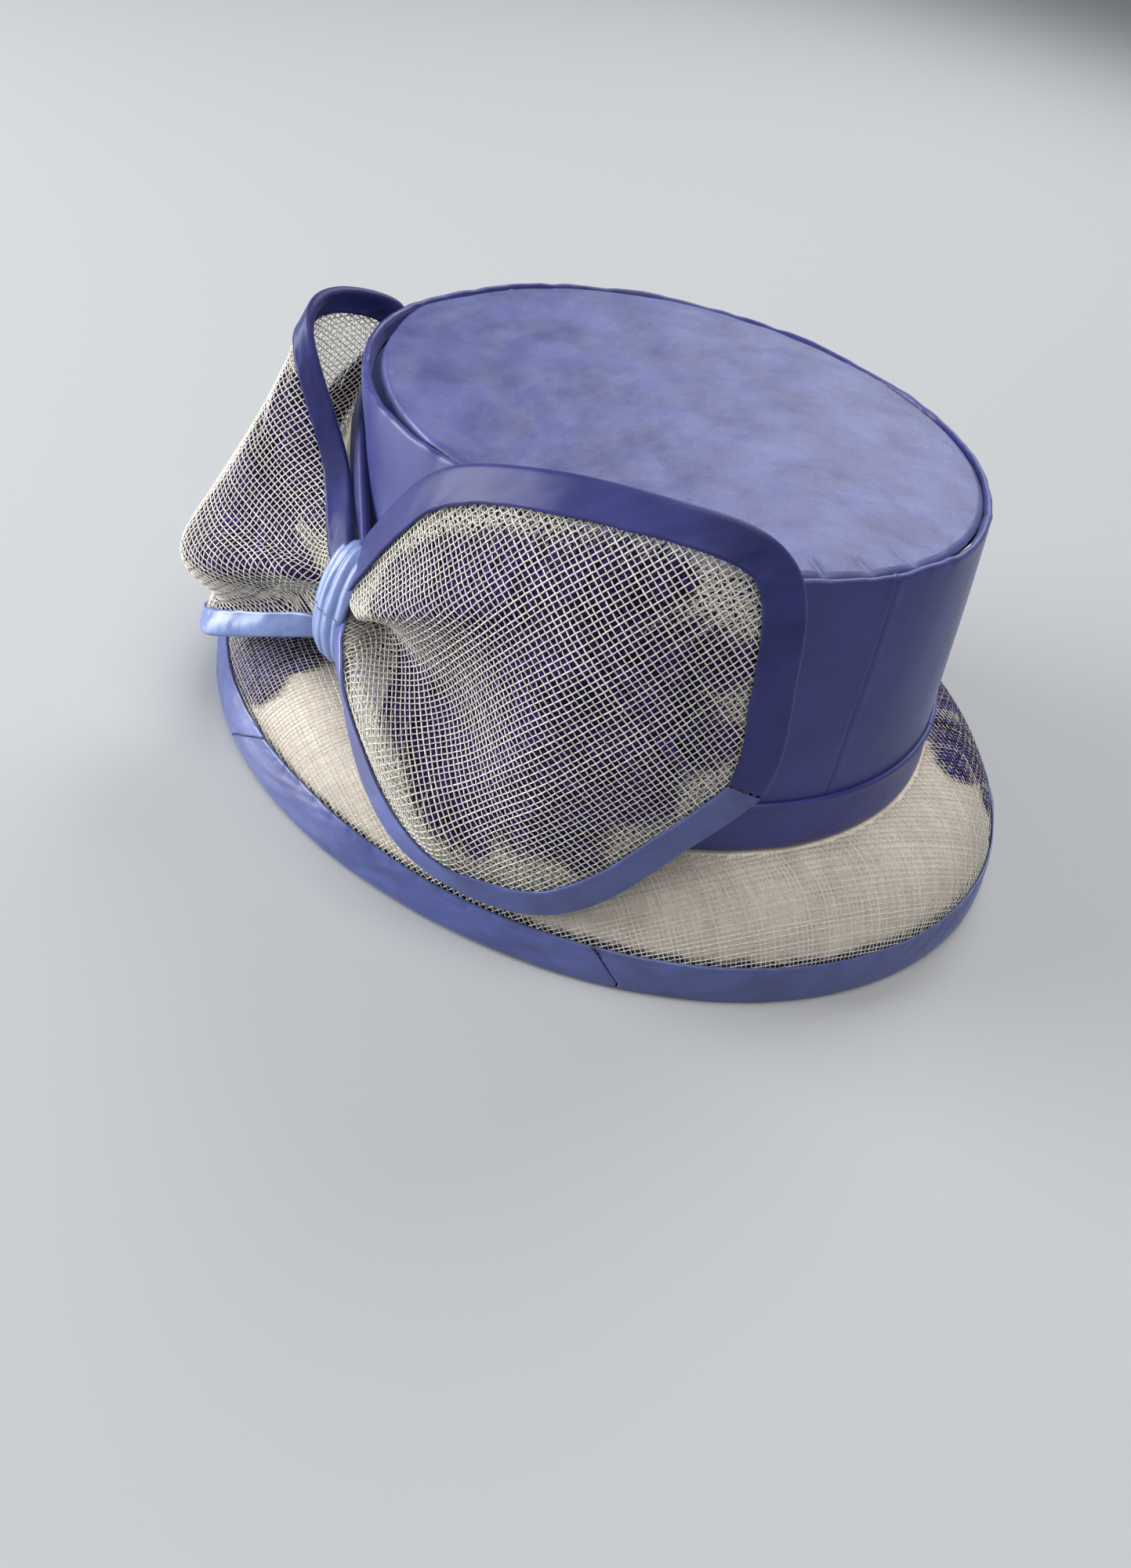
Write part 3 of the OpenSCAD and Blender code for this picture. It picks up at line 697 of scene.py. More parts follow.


# The side satin. The copies below are the same cloth, painted lighter or darker for how the light falls on
# them.
SATIN_DARK = satin("satin_indigo", (0.024, 0.028, 0.150), (0.034, 0.039, 0.195), 0.55, 0.6, 0.018)
# Painted shade: a darker, less glossy copy of the same satin, for the bindings on the petal's and loop's
# upper edges, which lie in shade.
SATIN_SHADED = satin("satin_painted_shade", (0.020, 0.023, 0.100), (0.032, 0.036, 0.150), 0.22, 1.2, 0.025, 0.0)
# Painted light: a lighter copy of the same satin for the tip, whose top faces the light. Its crumpling is
# real.
SATIN_TIP_LIT = satin("satin_crushed_painted_light", (0.038, 0.044, 0.160), (0.080, 0.093, 0.280), 0.55, 2.4, 0.160, 0.0, 0.40)
# Painted light: a lighter copy of the same satin for the brim binding and the petal's lower binding, so their
# sides toward the key light read bright.
SATIN_TRIM_LIT = satin("satin_trim_painted_light", (0.034, 0.048, 0.180), (0.062, 0.086, 0.290), 0.90, 1.8, 0.035)
# Painted light: the palest copy of the same satin, for the knot and the loop's lower binding, which face the
# key light.
SATIN_LIT = satin("satin_painted_light", (0.100, 0.145, 0.335), (0.170, 0.240, 0.485), 0.95, 1.8, 0.040)
STRAW = straw_thread("straw_thread", (0.49, 0.465, 0.41), (0.76, 0.73, 0.665))
# Painted light: a lighter copy of the straw thread for the inner plies, brightening the shaded cloth seen
# through the outer ply.
STRAW_BACK_LIT = straw_thread("straw_thread_back_painted_light", (0.57, 0.54, 0.47), (0.82, 0.78, 0.70))
# The last colour is painted shade along the brim binding's edge.
STRAW_DENSE = dense_straw("straw_dense", (0.60, 0.52, 0.44), (0.82, 0.74, 0.645), (0.030, 0.030, 0.075))
PLUME = plume("feather_violet", (0.004, 0.003, 0.014), (0.050, 0.028, 0.175))
LINING = plain_cloth("lining_taffeta", (0.26, 0.28, 0.48), (0.40, 0.42, 0.62), 0.45)
RIBBON = plain_cloth("grosgrain_ribbon", (0.52, 0.49, 0.43), (0.70, 0.67, 0.60), 0.7, 2200.0, 0.2)
STIFF = plain_cloth("stiffened_straw", (0.45, 0.41, 0.34), (0.62, 0.58, 0.49), 0.7)
WADDING = plain_cloth("cotton_wadding", (0.74, 0.74, 0.73), (0.86, 0.86, 0.85), 0.95)
WIRE = plain_cloth("cotton_covered_wire", (0.66, 0.66, 0.64), (0.82, 0.82, 0.80), 0.8)
THREAD = plain_cloth("sewing_thread", (0.06, 0.06, 0.16), (0.12, 0.12, 0.30), 0.6)


# ---- Camera, floor and lights ------------------------------------------------------

def set_camera():
    data = bpy.data.cameras.new("camera")
    data.lens, data.sensor_width = 27.58, 36.0
    data.clip_start, data.clip_end = 0.01, 50
    camera = bpy.data.objects.new("camera", data)
    bpy.context.scene.collection.objects.link(camera)
    right = Vector((0.8880, 0.4242, 0.1773)).normalized()
    forward = Vector((-0.2024, 0.7069, -0.6777)).normalized()
    up = right.cross(forward).normalized()
    right = forward.cross(up)
    turn = Matrix((right, up, -forward)).transposed()
    camera.matrix_world = Matrix.Translation(Vector((82.2, -320.0, 234.7)) * MM) @ turn.to_4x4()
    bpy.context.scene.camera = camera


def area_light(name, place, target, size, power, color):
    data = bpy.data.lights.new(name, "AREA")
    data.shape, data.size, data.energy, data.color = "DISK", size, power, color
    light = bpy.data.objects.new(name, data)
    light.location = place
    light.rotation_euler = (Vector(target) - Vector(place)).to_track_quat("-Z", "Y").to_euler()
    bpy.context.scene.collection.objects.link(light)


def set_stage(floor_z):
    bpy.context.scene.view_settings.view_transform = "Standard"
    world = bpy.data.worlds.new("studio")
    world.use_nodes = True
    world.node_tree.nodes["Background"].inputs["Color"].default_value = (0.90, 0.94, 1.0, 1)
    world.node_tree.nodes["Background"].inputs["Strength"].default_value = 0.27
    bpy.context.scene.world = world
    mesh = bpy.data.meshes.new("floor")
    half = 12.0                                     # metres
    corners = ((-half, -half), (half, -half), (half, half), (-half, half))
    mesh.from_pydata([(x, y, floor_z) for x, y in corners], [], [(0, 1, 2, 3)])
    floor = bpy.data.objects.new("floor", mesh)
    bpy.context.scene.collection.objects.link(floor)
    paint = Paint("pale_floor", (0.43, 0.44, 0.45), 0.9, Specular_IOR_Level=0.1)
    mesh.materials.append(paint.material)
    area_light("window", (0.0, 1.25, 1.15), (0, 0, 0.06), 1.0, 15, (0.97, 0.98, 1.0))
    area_light("key", (-1.42, -0.62, 0.42), (-0.02, -0.02, 0.04), 1.1, 42, (0.98, 0.99, 1.0))
    area_light("fill", (0.5, -2.2, 1.6), (0, 0, 0.04), 3.0, 9, (1.0, 0.99, 0.97))
    area_light("top", (0.4, -0.3, 1.9), (0, 0, 0.04), 1.4, 21, (1.0, 0.98, 0.95))


# ---- Crown -------------------------------------------------------------------------

def seam_spacing(count):
    """Directions once round from the seam, close together near it."""
    x = np.linspace(0, 1, count)
    return SEAM + 360 * (x - 0.9 * np.sin(2 * math.pi * x) / (2 * math.pi))


def make_side_satin():
    a = seam_spacing(760)[:, None]
    girth = (a - SEAM) * CROWN_DEGREE
    from_seam = np.minimum(a - SEAM, SEAM + 360 - a) * CROWN_DEGREE
    wall, over, under = 46, 12, 8                   # rows up the wall, over the wire and down inside
    fold_r = 1.0
    fold_z = RIM_TOP - fold_r
    bow = np.linspace(0, 165, over)
    rise = np.concatenate([np.linspace(0.4, fold_z - 0.4, wall), fold_z + fold_r * sind(bow),
                           np.linspace(fold_z - 0.3, RIM_TOP - 5.2, under)])
    off = np.concatenate([np.zeros(wall), -fold_r * (1 - cosd(bow)), np.linspace(-2.4, -2.95, under)])
    near_top = smooth(40, 82, rise)
    rim_waves = 0.30 * noise(girth / 16, 3, 13) + 0.22 * noise(girth / 4, 4, 16)
    waves = (0.30 * noise(girth / 38, rise / 30, 11) + 0.14 * noise(girth / 9, rise / 60, 12) * near_top
             + rim_waves * smooth(RIM_TOP - 5, RIM_TOP, rise))
    groove = -0.50 * np.exp(-(from_seam / 0.35) ** 2) + 0.12 * np.exp(-((from_seam - 1.6) / 1.1) ** 2)
    lift = ((0.30 * noise(girth / 21, 7, 14) + 0.22 * noise(girth / 5, 8, 15))
            * smooth(RIM_TOP - 4, RIM_TOP - 1, rise))
    waves = waves + rim_bulge(a) * smooth(55, RIM_TOP + 1, rise)
    a = a + SEAM_SLANT * (rise / CROWN_H - 0.5)
    outer = crown(a, rise + lift, off + waves + groove)
    thick = 0.35
    in_off = np.concatenate([np.full(wall, -thick), -thick * cosd(bow), np.full(under, thick)])
    in_rise = np.concatenate([np.zeros(wall), -thick * sind(bow), np.zeros(under)])
    inner = crown(a, rise + lift + in_rise, off + waves + groove + in_off)
    points, faces = layered(outer, inner)
    cloth = cloth_coordinates(outer, girth + 0 * rise, rise + 0 * girth)
    satin_piece = piece("side_satin_cloth", points, faces, SATIN_DARK, ["side_satin"], cloth)


def tip_height(a, share):
    """Height of the padded tip: a deep valley inside the rim on the side of the bow's loop,
    and gathers round the rest of its edge."""
    valley = rim_bulge(a) / BULGE
    past_wire = share * (TIP[0] - 0.4 + rim_bulge(a)) - WIRE_HIGH[0] - 0.4
    full = np.interp(share, [0, 0.5, 0.92, 0.95, 0.965, 0.972], [0.1, 0.0, 0.1, 0.0, -0.5, -1.3])
    x, y = share * TIP[0] * cosd(a), share * TIP[1] * sind(a)
    soft = 0.60 * noise(x / 27, y / 27, 22) + 0.16 * noise(x / 10, y / 10, 23)
    edge = smooth(0.84, 0.91, share) * smooth(0.985, 0.95, share)
    at_seam = smooth(296, 312, a) * smooth(346, 330, a)
    puffs = np.abs(np.sin(np.radians(a * 6.5 + 30 * noise(a / 14, 3, 26)))) ** 0.7 - 0.3
    tucks = np.abs(np.sin(np.radians(a * 19 + 25 * noise(a / 9, 2, 25)))) ** 0.6 - 0.6
    gather = edge * (0.25 * noise(a / 6, 1, 21) + 0.8 * valley * puffs + 1.1 * at_seam * tucks)
    crease = (-0.5 * np.exp(-((share - 0.60 - 0.05 * cosd(2 * a)) / 0.05) ** 2)
              * smooth(150, 170, a) * smooth(250, 220, a))
    drop = full * (1 - valley) - 6.0 * smooth(0, 2.8, past_wire)
    return RIM_TOP + drop + soft * smooth(0.97, 0.85, share) + gather + crease


def tip_grid(share, drop):
    a = (np.arange(720) * 0.5)[:, None]
    reach = share[None, :]
    wide = (TIP - 0.4)[:, None, None] + rim_bulge(a) * smooth(0.5, 1.0, reach)
    return np.stack([reach * wide[0] * cosd(a), reach * wide[1] * sind(a), tip_height(a, reach) - drop], -1)


def make_tip():
    share = np.concatenate([np.linspace(0.02, 0.82, 40), np.linspace(0.83, 0.972, 34)])
    outer = tip_grid(share, 0.0)
    points, faces = layered(outer, tip_grid(share, 0.35), closed=True, hub=True)
    flat = (outer * np.array([1, 1, 0])).reshape(-1, 3)
    cloth = np.concatenate([flat, flat, np.zeros((2, 3))])
    # The tip's satin is a lighter copy: painted light.
    top = piece("tip_satin_cloth", points, faces, SATIN_TIP_LIT, ["tip_satin"], cloth)
    share = np.linspace(0.02, 0.915, 40)
    upper = tip_grid(share, 0.55)
    lower = upper * np.array([1, 1, 0]) + np.array([0, 0, RIM_TOP - 3.9])
    points, faces = layered(upper, lower, closed=True, hub=True)
    pad = piece("tip_pad", points, faces, WADDING, ["tip_wadding"])


def make_hat_band():
    count = 480
    a = np.linspace(0, 360, count, endpoint=False)[:, None]
    girth = a * BAND_DEGREE
    bead = 0.85                                     # half thickness of the rolled top edge
    turn = np.linspace(-60, 200, 12)
    z = np.concatenate([[0.5, 2.0, 5.0, 8.0, 11.0, 13.5, 15.2], BAND_HIGH[2] - bead + bead * sind(turn)])
    off = np.concatenate([[0.75, 0.95, 0.85, 0.75, 0.70, 0.72, 0.85], 0.75 + bead * cosd(turn)])
    drift = (0.10 * noise(girth / 11, z[None] / 5, 31)
             + 0.35 * noise(girth / 60, 2, 32) * smooth(12, 17, z)[None])
    z = z[None, :] + 0.5 * noise(girth / 70, 4, 33) * smooth(10, 17, z)[None, :]
    outer = crown(a, z, off[None, :] + drift)
    back = crown(a, z * 0.96 + 0.2, 0.12)
    points, faces = layered(outer, back, closed=True)
    cloth = cloth_coordinates(outer, girth + 0 * z, z + 0 * girth)
    band = piece("hat_band_fold", points, faces, SATIN_DARK, ["hat_band"], cloth)


def make_linings():
    a = np.arange(240)[:, None] * 1.5
    top = CROWN_H - 4.6
    wall = 24
    z = np.concatenate([np.linspace(4, top - 2.0, wall), top + np.linspace(-0.6, 0, 14)])
    off = np.concatenate([np.full(wall, -4.4), -5.0 - np.linspace(0, 1, 14) ** 1.2 * 74])
    off = off + 0.3 * noise(a / 5, z / 22, 41)
    thick = 0.35
    outer = crown(a, z, off)[:, ::-1]
    is_wall = np.arange(len(z)) < wall
    inner = crown(a, z - thick * ~is_wall, off - thick * is_wall)[:, ::-1]
    points, faces = layered(outer, inner, closed=True, hub=True)
    lining = piece("crown_lining_cloth", points, faces, LINING, ["crown_lining"])
    z = np.linspace(-1, 22, 24)
    off = -4.9 + 0.12 * noise(a / 9, z / 12, 42)
    points, faces = layered(crown(a, z, off), crown(a, z, off - 0.45), closed=True)
    band = piece("sweatband_ribbon", points, faces, RIBBON, ["sweatband"])


# ---- Brim --------------------------------------------------------------------------

def flat_on_brim(a, t):
    """Where a place on the brim was on the flat cloth, turned to its grain."""
    root = np.stack([ROOT[0] * cosd(a), ROOT[1] * sind(a)], -1)
    far = root * (1 + (np.interp(t, brim_turns, brim_run) / np.linalg.norm(root, axis=-1)))[..., None]
    c, s = cosd(BRIM_GRAIN), sind(BRIM_GRAIN)
    return far[..., 0] * c + far[..., 1] * s, -far[..., 0] * s + far[..., 1] * c


def make_brim():
    a = np.linspace(0, 360, 361)[:-1][:, None]
    t = np.linspace(3, BRIM_END, 44)[None, :]
    dips = 0.22 * noise(a / 4, t / 14, 51)
    outer, inner = brim(a, t, BASE_OFF + dips), brim(a, t, BASE_OFF - BASE_THICK + dips)
    collar_z = np.linspace(12, -0.6, 8)[None, :]
    collar_out = crown(a, collar_z, -2.25 + 0 * a)
    collar_in = crown(a, collar_z, -3.45 + 0 * a)
    outer = np.concatenate([collar_out, outer], 1)
    inner = np.concatenate([collar_in, inner], 1)
    points, faces = layered(outer, inner, closed=True)
    full_t = np.concatenate([np.zeros_like(collar_z), t], 1)
    x, y = flat_on_brim(*np.broadcast_arrays(a, full_t))
    flat = np.stack([x, y, 0 * x], -1).reshape(-1, 3)
    # Painted shade: a ragged dark band on the stiff brim just inside the binding, where the binding's raised
    # edge shades the net.
    binding_shade = smooth(BINDING_FROM - 3.2, BINDING_FROM - 1.2, full_t + 1.6 * noise(a * 1.7, 3, 52))
    binding_shade = np.broadcast_to(binding_shade, x.shape).ravel()
    piece("brim_form", points, faces, STRAW_DENSE, ["brim_base"],
          np.concatenate([flat, flat]), np.concatenate([binding_shade, 0 * binding_shade]))
    reach = BRIM_EDGE[0] + 24
    paths = net_paths(lay_on_brim(-0.32, 1.0, BRIM_END), reach, BRIM_GRAIN, 61, BRIM_PITCH, 0.165, 0.20, 0.12)
    points, faces, tone = tube_mesh(paths, sides=3)
    net = piece("brim_net", points, faces, STRAW, ["brim_overlay"], tone=tone, fix=False)


def brim_binding(name, node, start, end, slants, count, seed):
    """Satin folded over the brim's edge between two directions. Each end is cut on the slant,
    by degrees that its outer corner lies past its middle."""
    a = np.linspace(start, end, count)[:, None]
    slant = slants[0] * smooth(12, 0, a - start) + slants[1] * smooth(12, 0, end - a)
    girth = a * BRIM_DEGREE
    outside, inside = 0.25, BASE_OFF - BASE_THICK - 0.25
    mid, half = (outside + inside) / 2, (outside - inside) / 2
    share = np.linspace(0, 1, 15)
    wider = 4.0 * smooth(50, 15, np.abs((a + 135 + 180) % 360 - 180))     # near the loop
    legs = BINDING_FROM - wider + (BRIM_END - BINDING_FROM + wider) * share
    turn = np.linspace(90, -90, 12)[1:-1]

    def station(a, thick, roll):
        """Points across the folded strip; roll rounds the turned-in edges."""
        edge_roll = roll * np.exp(-((share * 18) / 2.2) ** 2)
        leg = brim(a + slant * (2 * share[None, :] - 1), legs, outside + thick + edge_roll[None, :])
        a = a + slant
        back = brim(a, legs[:, ::-1], inside - thick - 0.4 * edge_roll[None, ::-1])
        core = brim(a, BRIM_END, mid)
        flat_core = core - brim(a, BRIM_END, mid - 1)
        out = unit(flat_core * np.array([1, 1, 0]))
        down = np.array([0, 0, 1.0]) * (3.0 + thick)
        bend = [core + (half + thick) * sind(v) * out - down * cosd(v) for v in turn]
        return leg, bend, back

    along = a + 0 * legs
    ripple = (0.38 * noise(girth / 16, legs / 9, seed)
              + 0.20 * noise(girth / 5 + legs / 3, legs / 12, seed + 1))
    dimple = np.zeros_like(along)
    for spot in np.arange(start + 3, end - 2, 3.4):
        dimple -= 0.35 * np.exp(-((along - spot) * BRIM_DEGREE / 1.1) ** 2
                                - ((legs - legs[:, :1] - 2.5) / 1.6) ** 2)
    leg, bend, back = station(a, 0.42, 0.35)
    wave = 0.45 * noise(girth[:, 0] / 24, 5, seed + 2) + 0.22 * noise(girth[:, 0] / 7, 6, seed + 3)
    leg = leg + unit(brim(a, legs, 1.0) - brim(a, legs, 0.0)) * (ripple + dimple)[..., None]
    outer = np.concatenate([leg, *bend, back], 1)
    low = smooth(-30, -36, outer[..., 2])
    outer[..., 2] -= low * (0.25 + wave[:, None]) * 0.8
    leg, bend, back = station(a, 0.0, 0.0)
    inner = np.concatenate([leg, *bend, back], 1)
    inner[..., 2] -= 0.5 * low * (0.25 + wave[:, None]) * 0.8
    across = np.cumsum(np.concatenate([[0], np.linalg.norm(np.diff(outer[0], axis=0), axis=1)]))[None, :]
    points, faces = layered(outer, inner)
    cloth = cloth_coordinates(outer, girth * 0.7 + across * 0.7, across * 0.7 - girth * 0.7)
    # The binding's satin is a lighter copy: painted light.
    strip = piece(name, points, faces, SATIN_TRIM_LIT, [node], cloth)


def make_brim_bindings():
    side, back = 2.0, -4.0
    gap = 0.1                                       # degrees left between the strips
    brim_binding("brim_binding_main", "brim_binding_long",
                 SIDE_JOIN + gap, BACK_JOIN + 360 - gap, (side, back), 640, 71)
    brim_binding("brim_binding_piece", "brim_binding_short",
                 BACK_JOIN + gap, SIDE_JOIN - gap, (back, side), 150, 81)


# ---- Feathers ----------------------------------------------------------------------

def feather(surface, shaft, width, seed, off, step, half_w):
    """One plume on surface(u, v): a shaft along the points of shaft, which are places on the
    surface in millimetres, and curved barbs on both sides."""
    rng = np.random.default_rng(seed)
    length = float(np.linalg.norm(np.diff(np.asarray(shaft, float), axis=0), axis=1).sum())
    count = int(length / step)
    t = np.linspace(0.02, 1, count)
    spine = curve(shaft, t)
    run = unit(np.gradient(spine, axis=0))
    paths = [thread_on(surface, spine, off + 0.12, np.interp(t, [0, 1], [0.55, 0.15]), 0.22, 0.55)]
    bead = np.linspace(0, 1, 7)
    for side in (-1, 1):
        across = side * np.stack([-run[:, 1], run[:, 0]], -1)
        for k in range(count):
            reach = width * math.sin(math.pi * min(1, 0.12 + 0.88 * t[k]) ** 0.8) ** 0.6
            reach *= rng.uniform(0.82, 1.08)
            lean = rng.normal(0, 0.05)
            out = reach * bead
            ahead = reach * (0.35 * bead + 0.55 * bead ** 2) * (1 + lean)
            bend = rng.normal(0, 0.25) * bead ** 2
            places = spine[k] + out[:, None] * across[k] + (ahead + bend)[:, None] * run[k]
            taper = half_w * np.interp(bead, [0, 0.55, 0.8, 1], [1.5, 1.2, 0.7, 0.2])
            tone = rng.uniform(0.15, 1.0)
            paths.append(thread_on(surface, places, off + rng.uniform(-0.14, 0.14), taper, 0.06, tone))
    return paths


def thread_on(surface, places, off, half_w, half_h, tone):
    """A thread along places (u, v) of a surface(u, v, off)."""
    u, v = places[:, 0], places[:, 1]
    route = surface(u, v, off)
    return route, unit(surface(u, v, off + 1.0) - route), half_w, half_h, tone


def plume_piece(name, node, surface, shafts, seed, off, step, half_w):
    """Feathers as one piece: each has its shaft's start, middle and end, and its barbs' reach."""
    paths = []
    for k, (start, mid, end, width) in enumerate(shafts):
        paths += feather(surface, [start, mid, end], width, seed + k, off, step, half_w)
    points, faces, tone = tube_mesh(paths)
    piece(name, points, faces, PLUME, [node], tone=tone, fix=False)


def bowed(shafts, along, out):
    """Straight shafts (start, end, reach), each given a middle that is moved by along and out."""
    return [(start, [(start[0] + end[0]) / 2 + along, (start[1] + end[1]) / 2 + out], end, width)
            for start, end, width in shafts]


def make_brim_feathers():
    def patch(middle):
        """The brim near one direction, as a flat place: round it, and out from the crown."""
        def surface(u, v, off):
            t = np.interp(v, brim_run, brim_turns)
            return brim(middle + u / 2.05, t, FEATHER_OFF - 0.3 + off)
        return surface

    front = bowed([((54, 14), (-28, 8), 14), ((50, 27), (-24, 24), 14), ((36, 38), (-30, 32), 10)], 3, 3)
    back = bowed([((-34, 6), (18, 12), 12), ((-30, 22), (22, 24), 13), ((-26, 36), (14, 36), 9)], 3, -2)
    plume_piece("brim_plumes_front", "brim_feathers_front", patch(17.0), front, 100, 0.74, 0.36, 0.30)
    plume_piece("brim_plumes_back", "brim_feathers_back", patch(220.0), back, 110, 0.55, 0.42, 0.30)


# ---- Bow ---------------------------------------------------------------------------

def petal_off(u, v, off):
    return petal(u, v) + np.asarray(off, float)[..., None] * normal_of(petal, u, v, 0.4, 0.4)


def loop_off(u, v, off):
    """The loop at places in millimetres: u along it and v up it."""
    s, w = u / LOOP_LENGTH, v / LOOP_WIDTH
    return loop(s, w) + np.asarray(off, float)[..., None] * normal_of(loop, s, w, 0.004, 0.008)


LOOP_LENGTH, LOOP_WIDTH = 215.0, 95.0
BOW_THREAD = (0.18, 0.20)                          # half width and half height of the bow's threads


def net_piece(name, node, lay, reach, plies, material):
    """Open straw cloth, as one ply or more: each has its grain, its seed and its distance off."""
    paths = []
    for grain, seed, off in plies:
        paths += net_paths(lay, reach, grain, seed, BOW_PITCH, BOW_THREAD[0], BOW_THREAD[1], off=off)
    points, faces, tone = tube_mesh(paths)
    net = piece(name, points, faces, material, [node], tone=tone, fix=False)


def make_petal():
    us, vs = np.linspace(-82, 66, 223), np.linspace(-70, 68, 208)
    place = drape(petal, us, vs, 25.0, 5.0)

    def inside(u, v):
        return petal_share(u, v) < 0.965

    lay = lay_on(petal, place, inside, 0.4, 0.4)
    net_piece("petal_net_front", "petal_outer_ply", lay, 115, [(BOW_GRAIN, 201, 0.62)], STRAW)
    net_piece("petal_net_back", "petal_inner_ply", lay, 115, [(BACK_GRAIN, 202, -0.60), (31, 203, -0.95)],
              STRAW_BACK_LIT)
    plumes = [((-58, 0), (-16, 24), (26, 46), 17), ((-58, -4), (-8, 14), (46, 30), 20),
              ((-54, -9), (0, 2), (48, 8), 20), ((-50, -12), (-4, -10), (40, -12), 19),
              ((-48, -14), (-12, -22), (18, -34), 16), ((-54, 2), (-36, 16), (-10, 38), 13),
              ((-34, -16), (-18, -30), (-2, -46), 11), ((-4, -14), (14, -24), (26, -38), 10)]
    plume_piece("petal_plumes", "petal_feathers", petal_off, plumes, 120, 0.0, 0.5, 0.27)


def bound_edge(name, node, skin, count, wide, half, seed, length, material):
    """Satin folded over an edge. skin(i, depth, height) gives points at the edge's stations
    i from 0 to 1: depth is into the cloth and height off its middle."""
    i = np.linspace(0, 1, count)[:, None]
    thick = 0.38
    turn = np.linspace(90, -90, 11)
    leg = np.linspace(1.0, 0.0, 9)
    down = wide * leg + 0.6 * (1 - leg)
    depth = np.concatenate([down, 0.6 - 1.35 * cosd(turn)[1:-1], down[::-1]])
    high = np.concatenate([np.full(9, half), half * sind(turn)[1:-1], np.full(9, -half)])
    roll = 0.30 * np.exp(-((depth - wide) / 0.9) ** 2)
    side = np.concatenate([np.ones(9), sind(turn)[1:-1], -np.ones(9)])
    run = i * length
    ripple = (0.26 * noise(run / 11, depth / 5 + np.sign(side) * 3, seed)
              + 0.13 * noise(run / 3.6 + depth / 2, depth / 6, seed + 1))
    edge = 1 + 0.05 * noise(run / 17, 2, seed + 2) + 0.02 * noise(run / 5, 4, seed + 3)
    outer = skin(i, depth[None, :] * edge, high + side * (thick + roll + ripple * smooth(0, 2.5, depth)))
    bend = 0.6 - 1.0 * cosd(turn)[1:-1]
    depth_in = np.concatenate([depth[:9], bend, depth[-9:]])
    inner = skin(i, depth_in[None, :] * edge, high * 0.98 + 0 * i)
    points, faces = layered(outer, inner)
    across = np.cumsum(np.concatenate([[0], np.hypot(np.diff(depth), np.diff(high))]))
    cloth = cloth_coordinates(outer, 0.7 * (run + across[None, :]), 0.7 * (across[None, :] - run))
    strip = piece(name, points, faces, material, [node], cloth)


def petal_skin(start, end):
    def skin(i, depth, height):
        t = start + (end - start) * i
        edge = petal_rim(t)
        run = unit(petal_rim(t + 0.012) - petal_rim(t - 0.012))
        inward = np.stack([run[..., 1], -run[..., 0]], -1)
        spot = edge + np.asarray(depth)[..., None] * inward
        return petal_off(spot[..., 0], spot[..., 1], height)
    return skin


def loop_skin(upper):
    def skin(i, depth, height):
        s = 0.004 + 0.992 * i
        w = np.full_like(s, 1.0 if upper else 0.0)
        tall = np.linalg.norm(loop(s, w) - loop(s, w + (-0.1 if upper else 0.1)), axis=-1) * 10
        share = np.asarray(depth) / np.maximum(tall, 20)
        w = (1 - share) if upper else share
        return loop_off((s + 0 * w) * LOOP_LENGTH, w * LOOP_WIDTH, height)
    return skin


def make_bow_bindings():
    half = 1.15                                     # half thickness of the bound cloth
    petal_wide, loop_wide = 8.5, 7.0
    above, below = petal_skin(0.002, PETAL_KINK - 0.001), petal_skin(PETAL_KINK + 0.001, 0.998)
    # The bindings use lighter and darker copies of one satin: painted light and painted shade.
    bound_edge("petal_binding_over", "petal_binding_top", above, 320, petal_wide, half, 301,
               205, SATIN_SHADED)
    bound_edge("petal_binding_under", "petal_binding_bottom", below, 260, petal_wide, half, 311,
               175, SATIN_TRIM_LIT)
    bound_edge("loop_binding_over", "loop_upper_binding", loop_skin(True), 320, loop_wide, half, 321,
               210, SATIN_SHADED)
    bound_edge("loop_binding_under", "loop_lower_binding", loop_skin(False), 260, loop_wide, half, 331,
               160, SATIN_LIT)


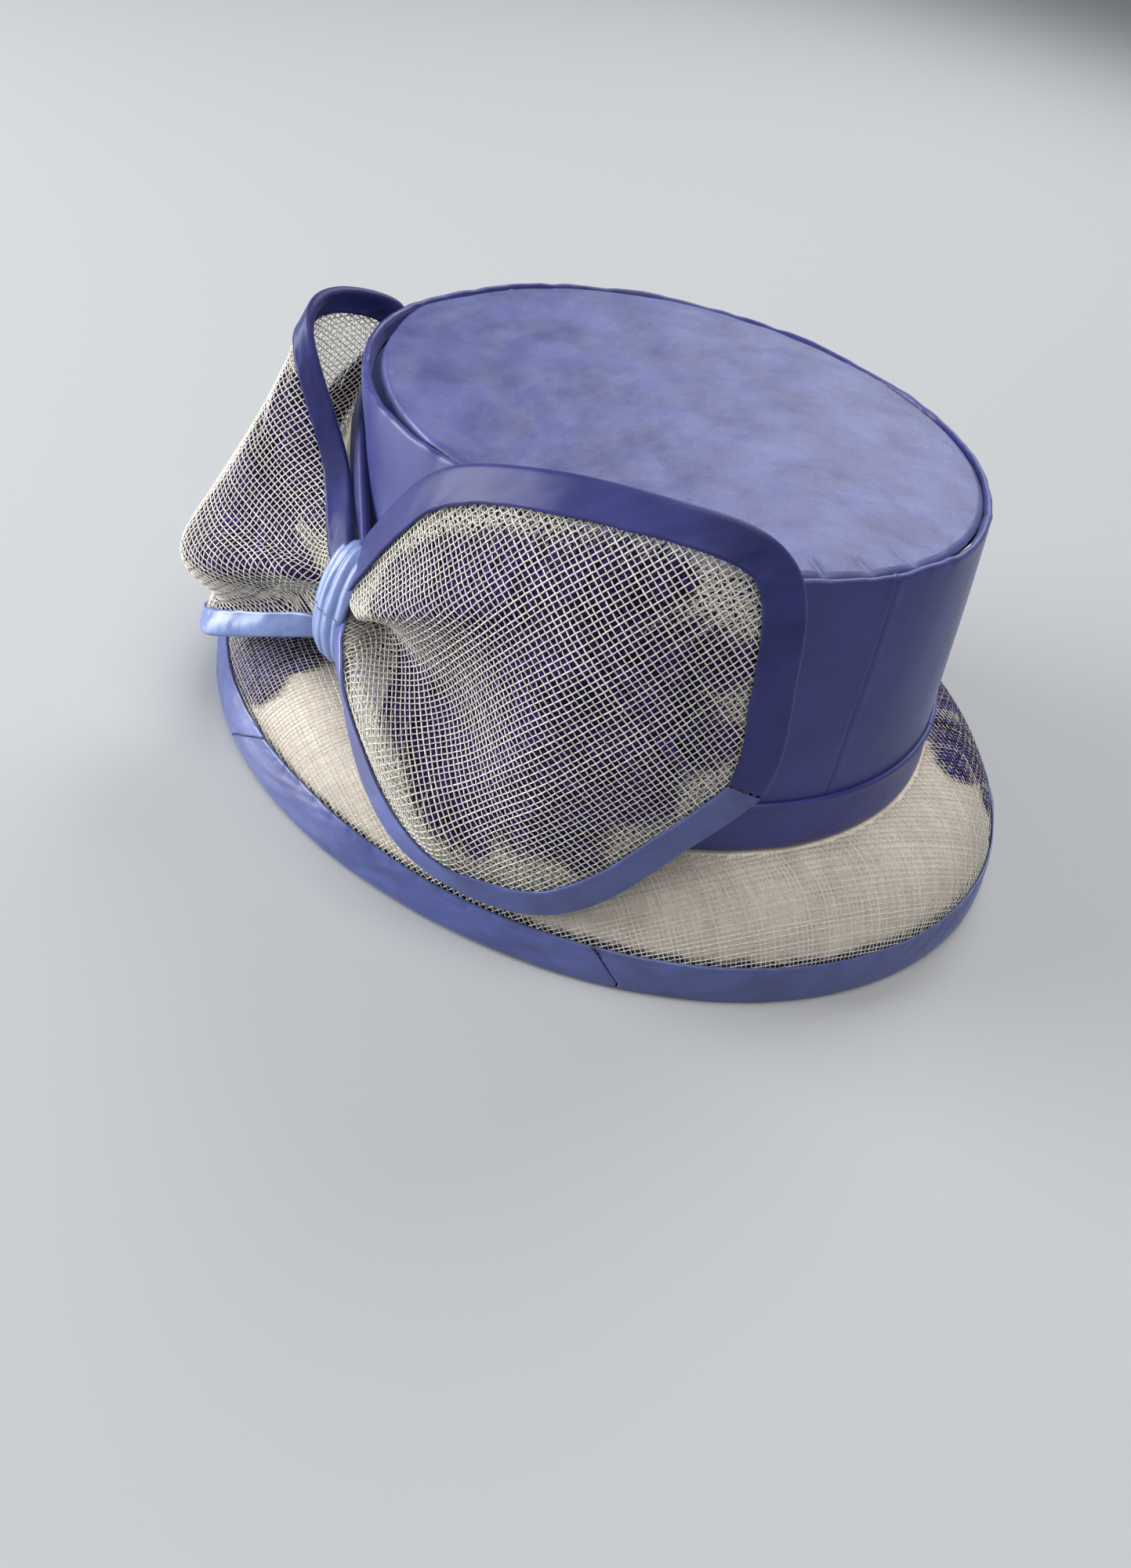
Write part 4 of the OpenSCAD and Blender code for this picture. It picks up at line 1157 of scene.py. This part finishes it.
def make_loop():
    us, vs = np.linspace(0, 1, 241), np.linspace(0, 1, 121)
    place = drape(loop, us, vs, 0.25, 0.5)

    def inside(s, w):
        return (w > 0.025) & (w < 0.975) & (s > 0.006) & (s < 0.994)

    lay = lay_on(loop, place, inside, 0.004, 0.008)
    net_piece("loop_net_outside", "loop_outer_ply", lay, 150, [(BOW_GRAIN, 211, 0.62)], STRAW)
    net_piece("loop_net_inside", "loop_inner_ply", lay, 150, [(BACK_GRAIN, 212, -0.72)], STRAW_BACK_LIT)
    plumes = [((22, 62), (52, 72), (96, 70), 13), ((20, 34), (52, 30), (100, 22), 14),
              ((40, 50), (66, 52), (104, 46), 13), ((3, 52), (18, 56), (38, 60), 8),
              ((10, 45), (32, 47), (62, 54), 11), ((14, 20), (40, 16), (76, 12), 8),
              ((16, 74), (36, 82), (66, 86), 8), ((118, 30), (136, 56), (146, 84), 14),
              ((146, 24), (164, 44), (178, 74), 13)]
    plume_piece("loop_plumes", "loop_feathers", loop_off, plumes, 140, 0.0, 0.5, 0.26)


def make_knot():
    centre = np.array([-62.0, -77.5, 30.5])
    turn, lean = -112.0, 12.0
    out = np.array([cosd(turn), sind(turn), 0.0])
    along = np.array([-out[1], out[0], 0.0])
    up = np.array([0, 0, cosd(lean)]) - sind(lean) * out
    half_h, half_d, width = 17.5, 7.5, 13.0
    a = np.arange(180)[:, None] * 2.0
    x = np.linspace(-1, 1, 41)
    pleat = 0.8 * (np.abs(np.sin(x * 5.0 + 0.5 * sind(a) + 0.3)) ** 0.7 - 0.5)
    swell = 1.6 * (1 - x ** 2) + pleat * (1 - x ** 8) + 0.25 * noise(a / 25, x * 3, 401)
    wide = x * width / 2 * (0.93 + 0.10 * cosd(a)) * (1 + 0.08 * noise(a / 40, 3, 402))

    def ring(inset):
        deep, high = half_d + swell - inset, half_h + swell - inset
        return (centre + wide[..., None] * along + (deep * cosd(a))[..., None] * out
                + (high * sind(a))[..., None] * up)

    outer, inner = ring(0.9), ring(1.9 + 0.8 * swell)
    points, faces = layered(outer, inner, closed=True)
    cloth = cloth_coordinates(outer, a * 0.24 + 0 * x, x * 8 + 0 * a)
    # The knot's satin is the palest copy: painted light.
    knot = piece("knot_wrap", points, faces, SATIN_LIT, ["bow_knot"], cloth)


# ---- The whole hat -----------------------------------------------------------------

def dress_frame():
    """Materials for the CAD pieces that stay."""
    kinds = {"crown_tip_foundation": STIFF, "crown_side_foundation": STIFF, "crown_top_wire": WIRE,
             "brim_wire": WIRE, "petal_wire": WIRE, "loop_upper_wire": WIRE,
             "loop_lower_wire": WIRE, "gather_thread": THREAD, "bow_tacks": THREAD}
    for node, material in kinds.items():
        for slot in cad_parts[node].material_slots:
            slot.material = material


set_camera()
set_stage(cad_box[0][2] - 0.0012)
make_side_satin()
make_tip()
make_hat_band()
make_linings()
make_brim()
make_brim_bindings()
make_brim_feathers()
make_petal()
make_loop()
make_bow_bindings()
make_knot()
dress_frame()

bpy.context.view_layer.update()
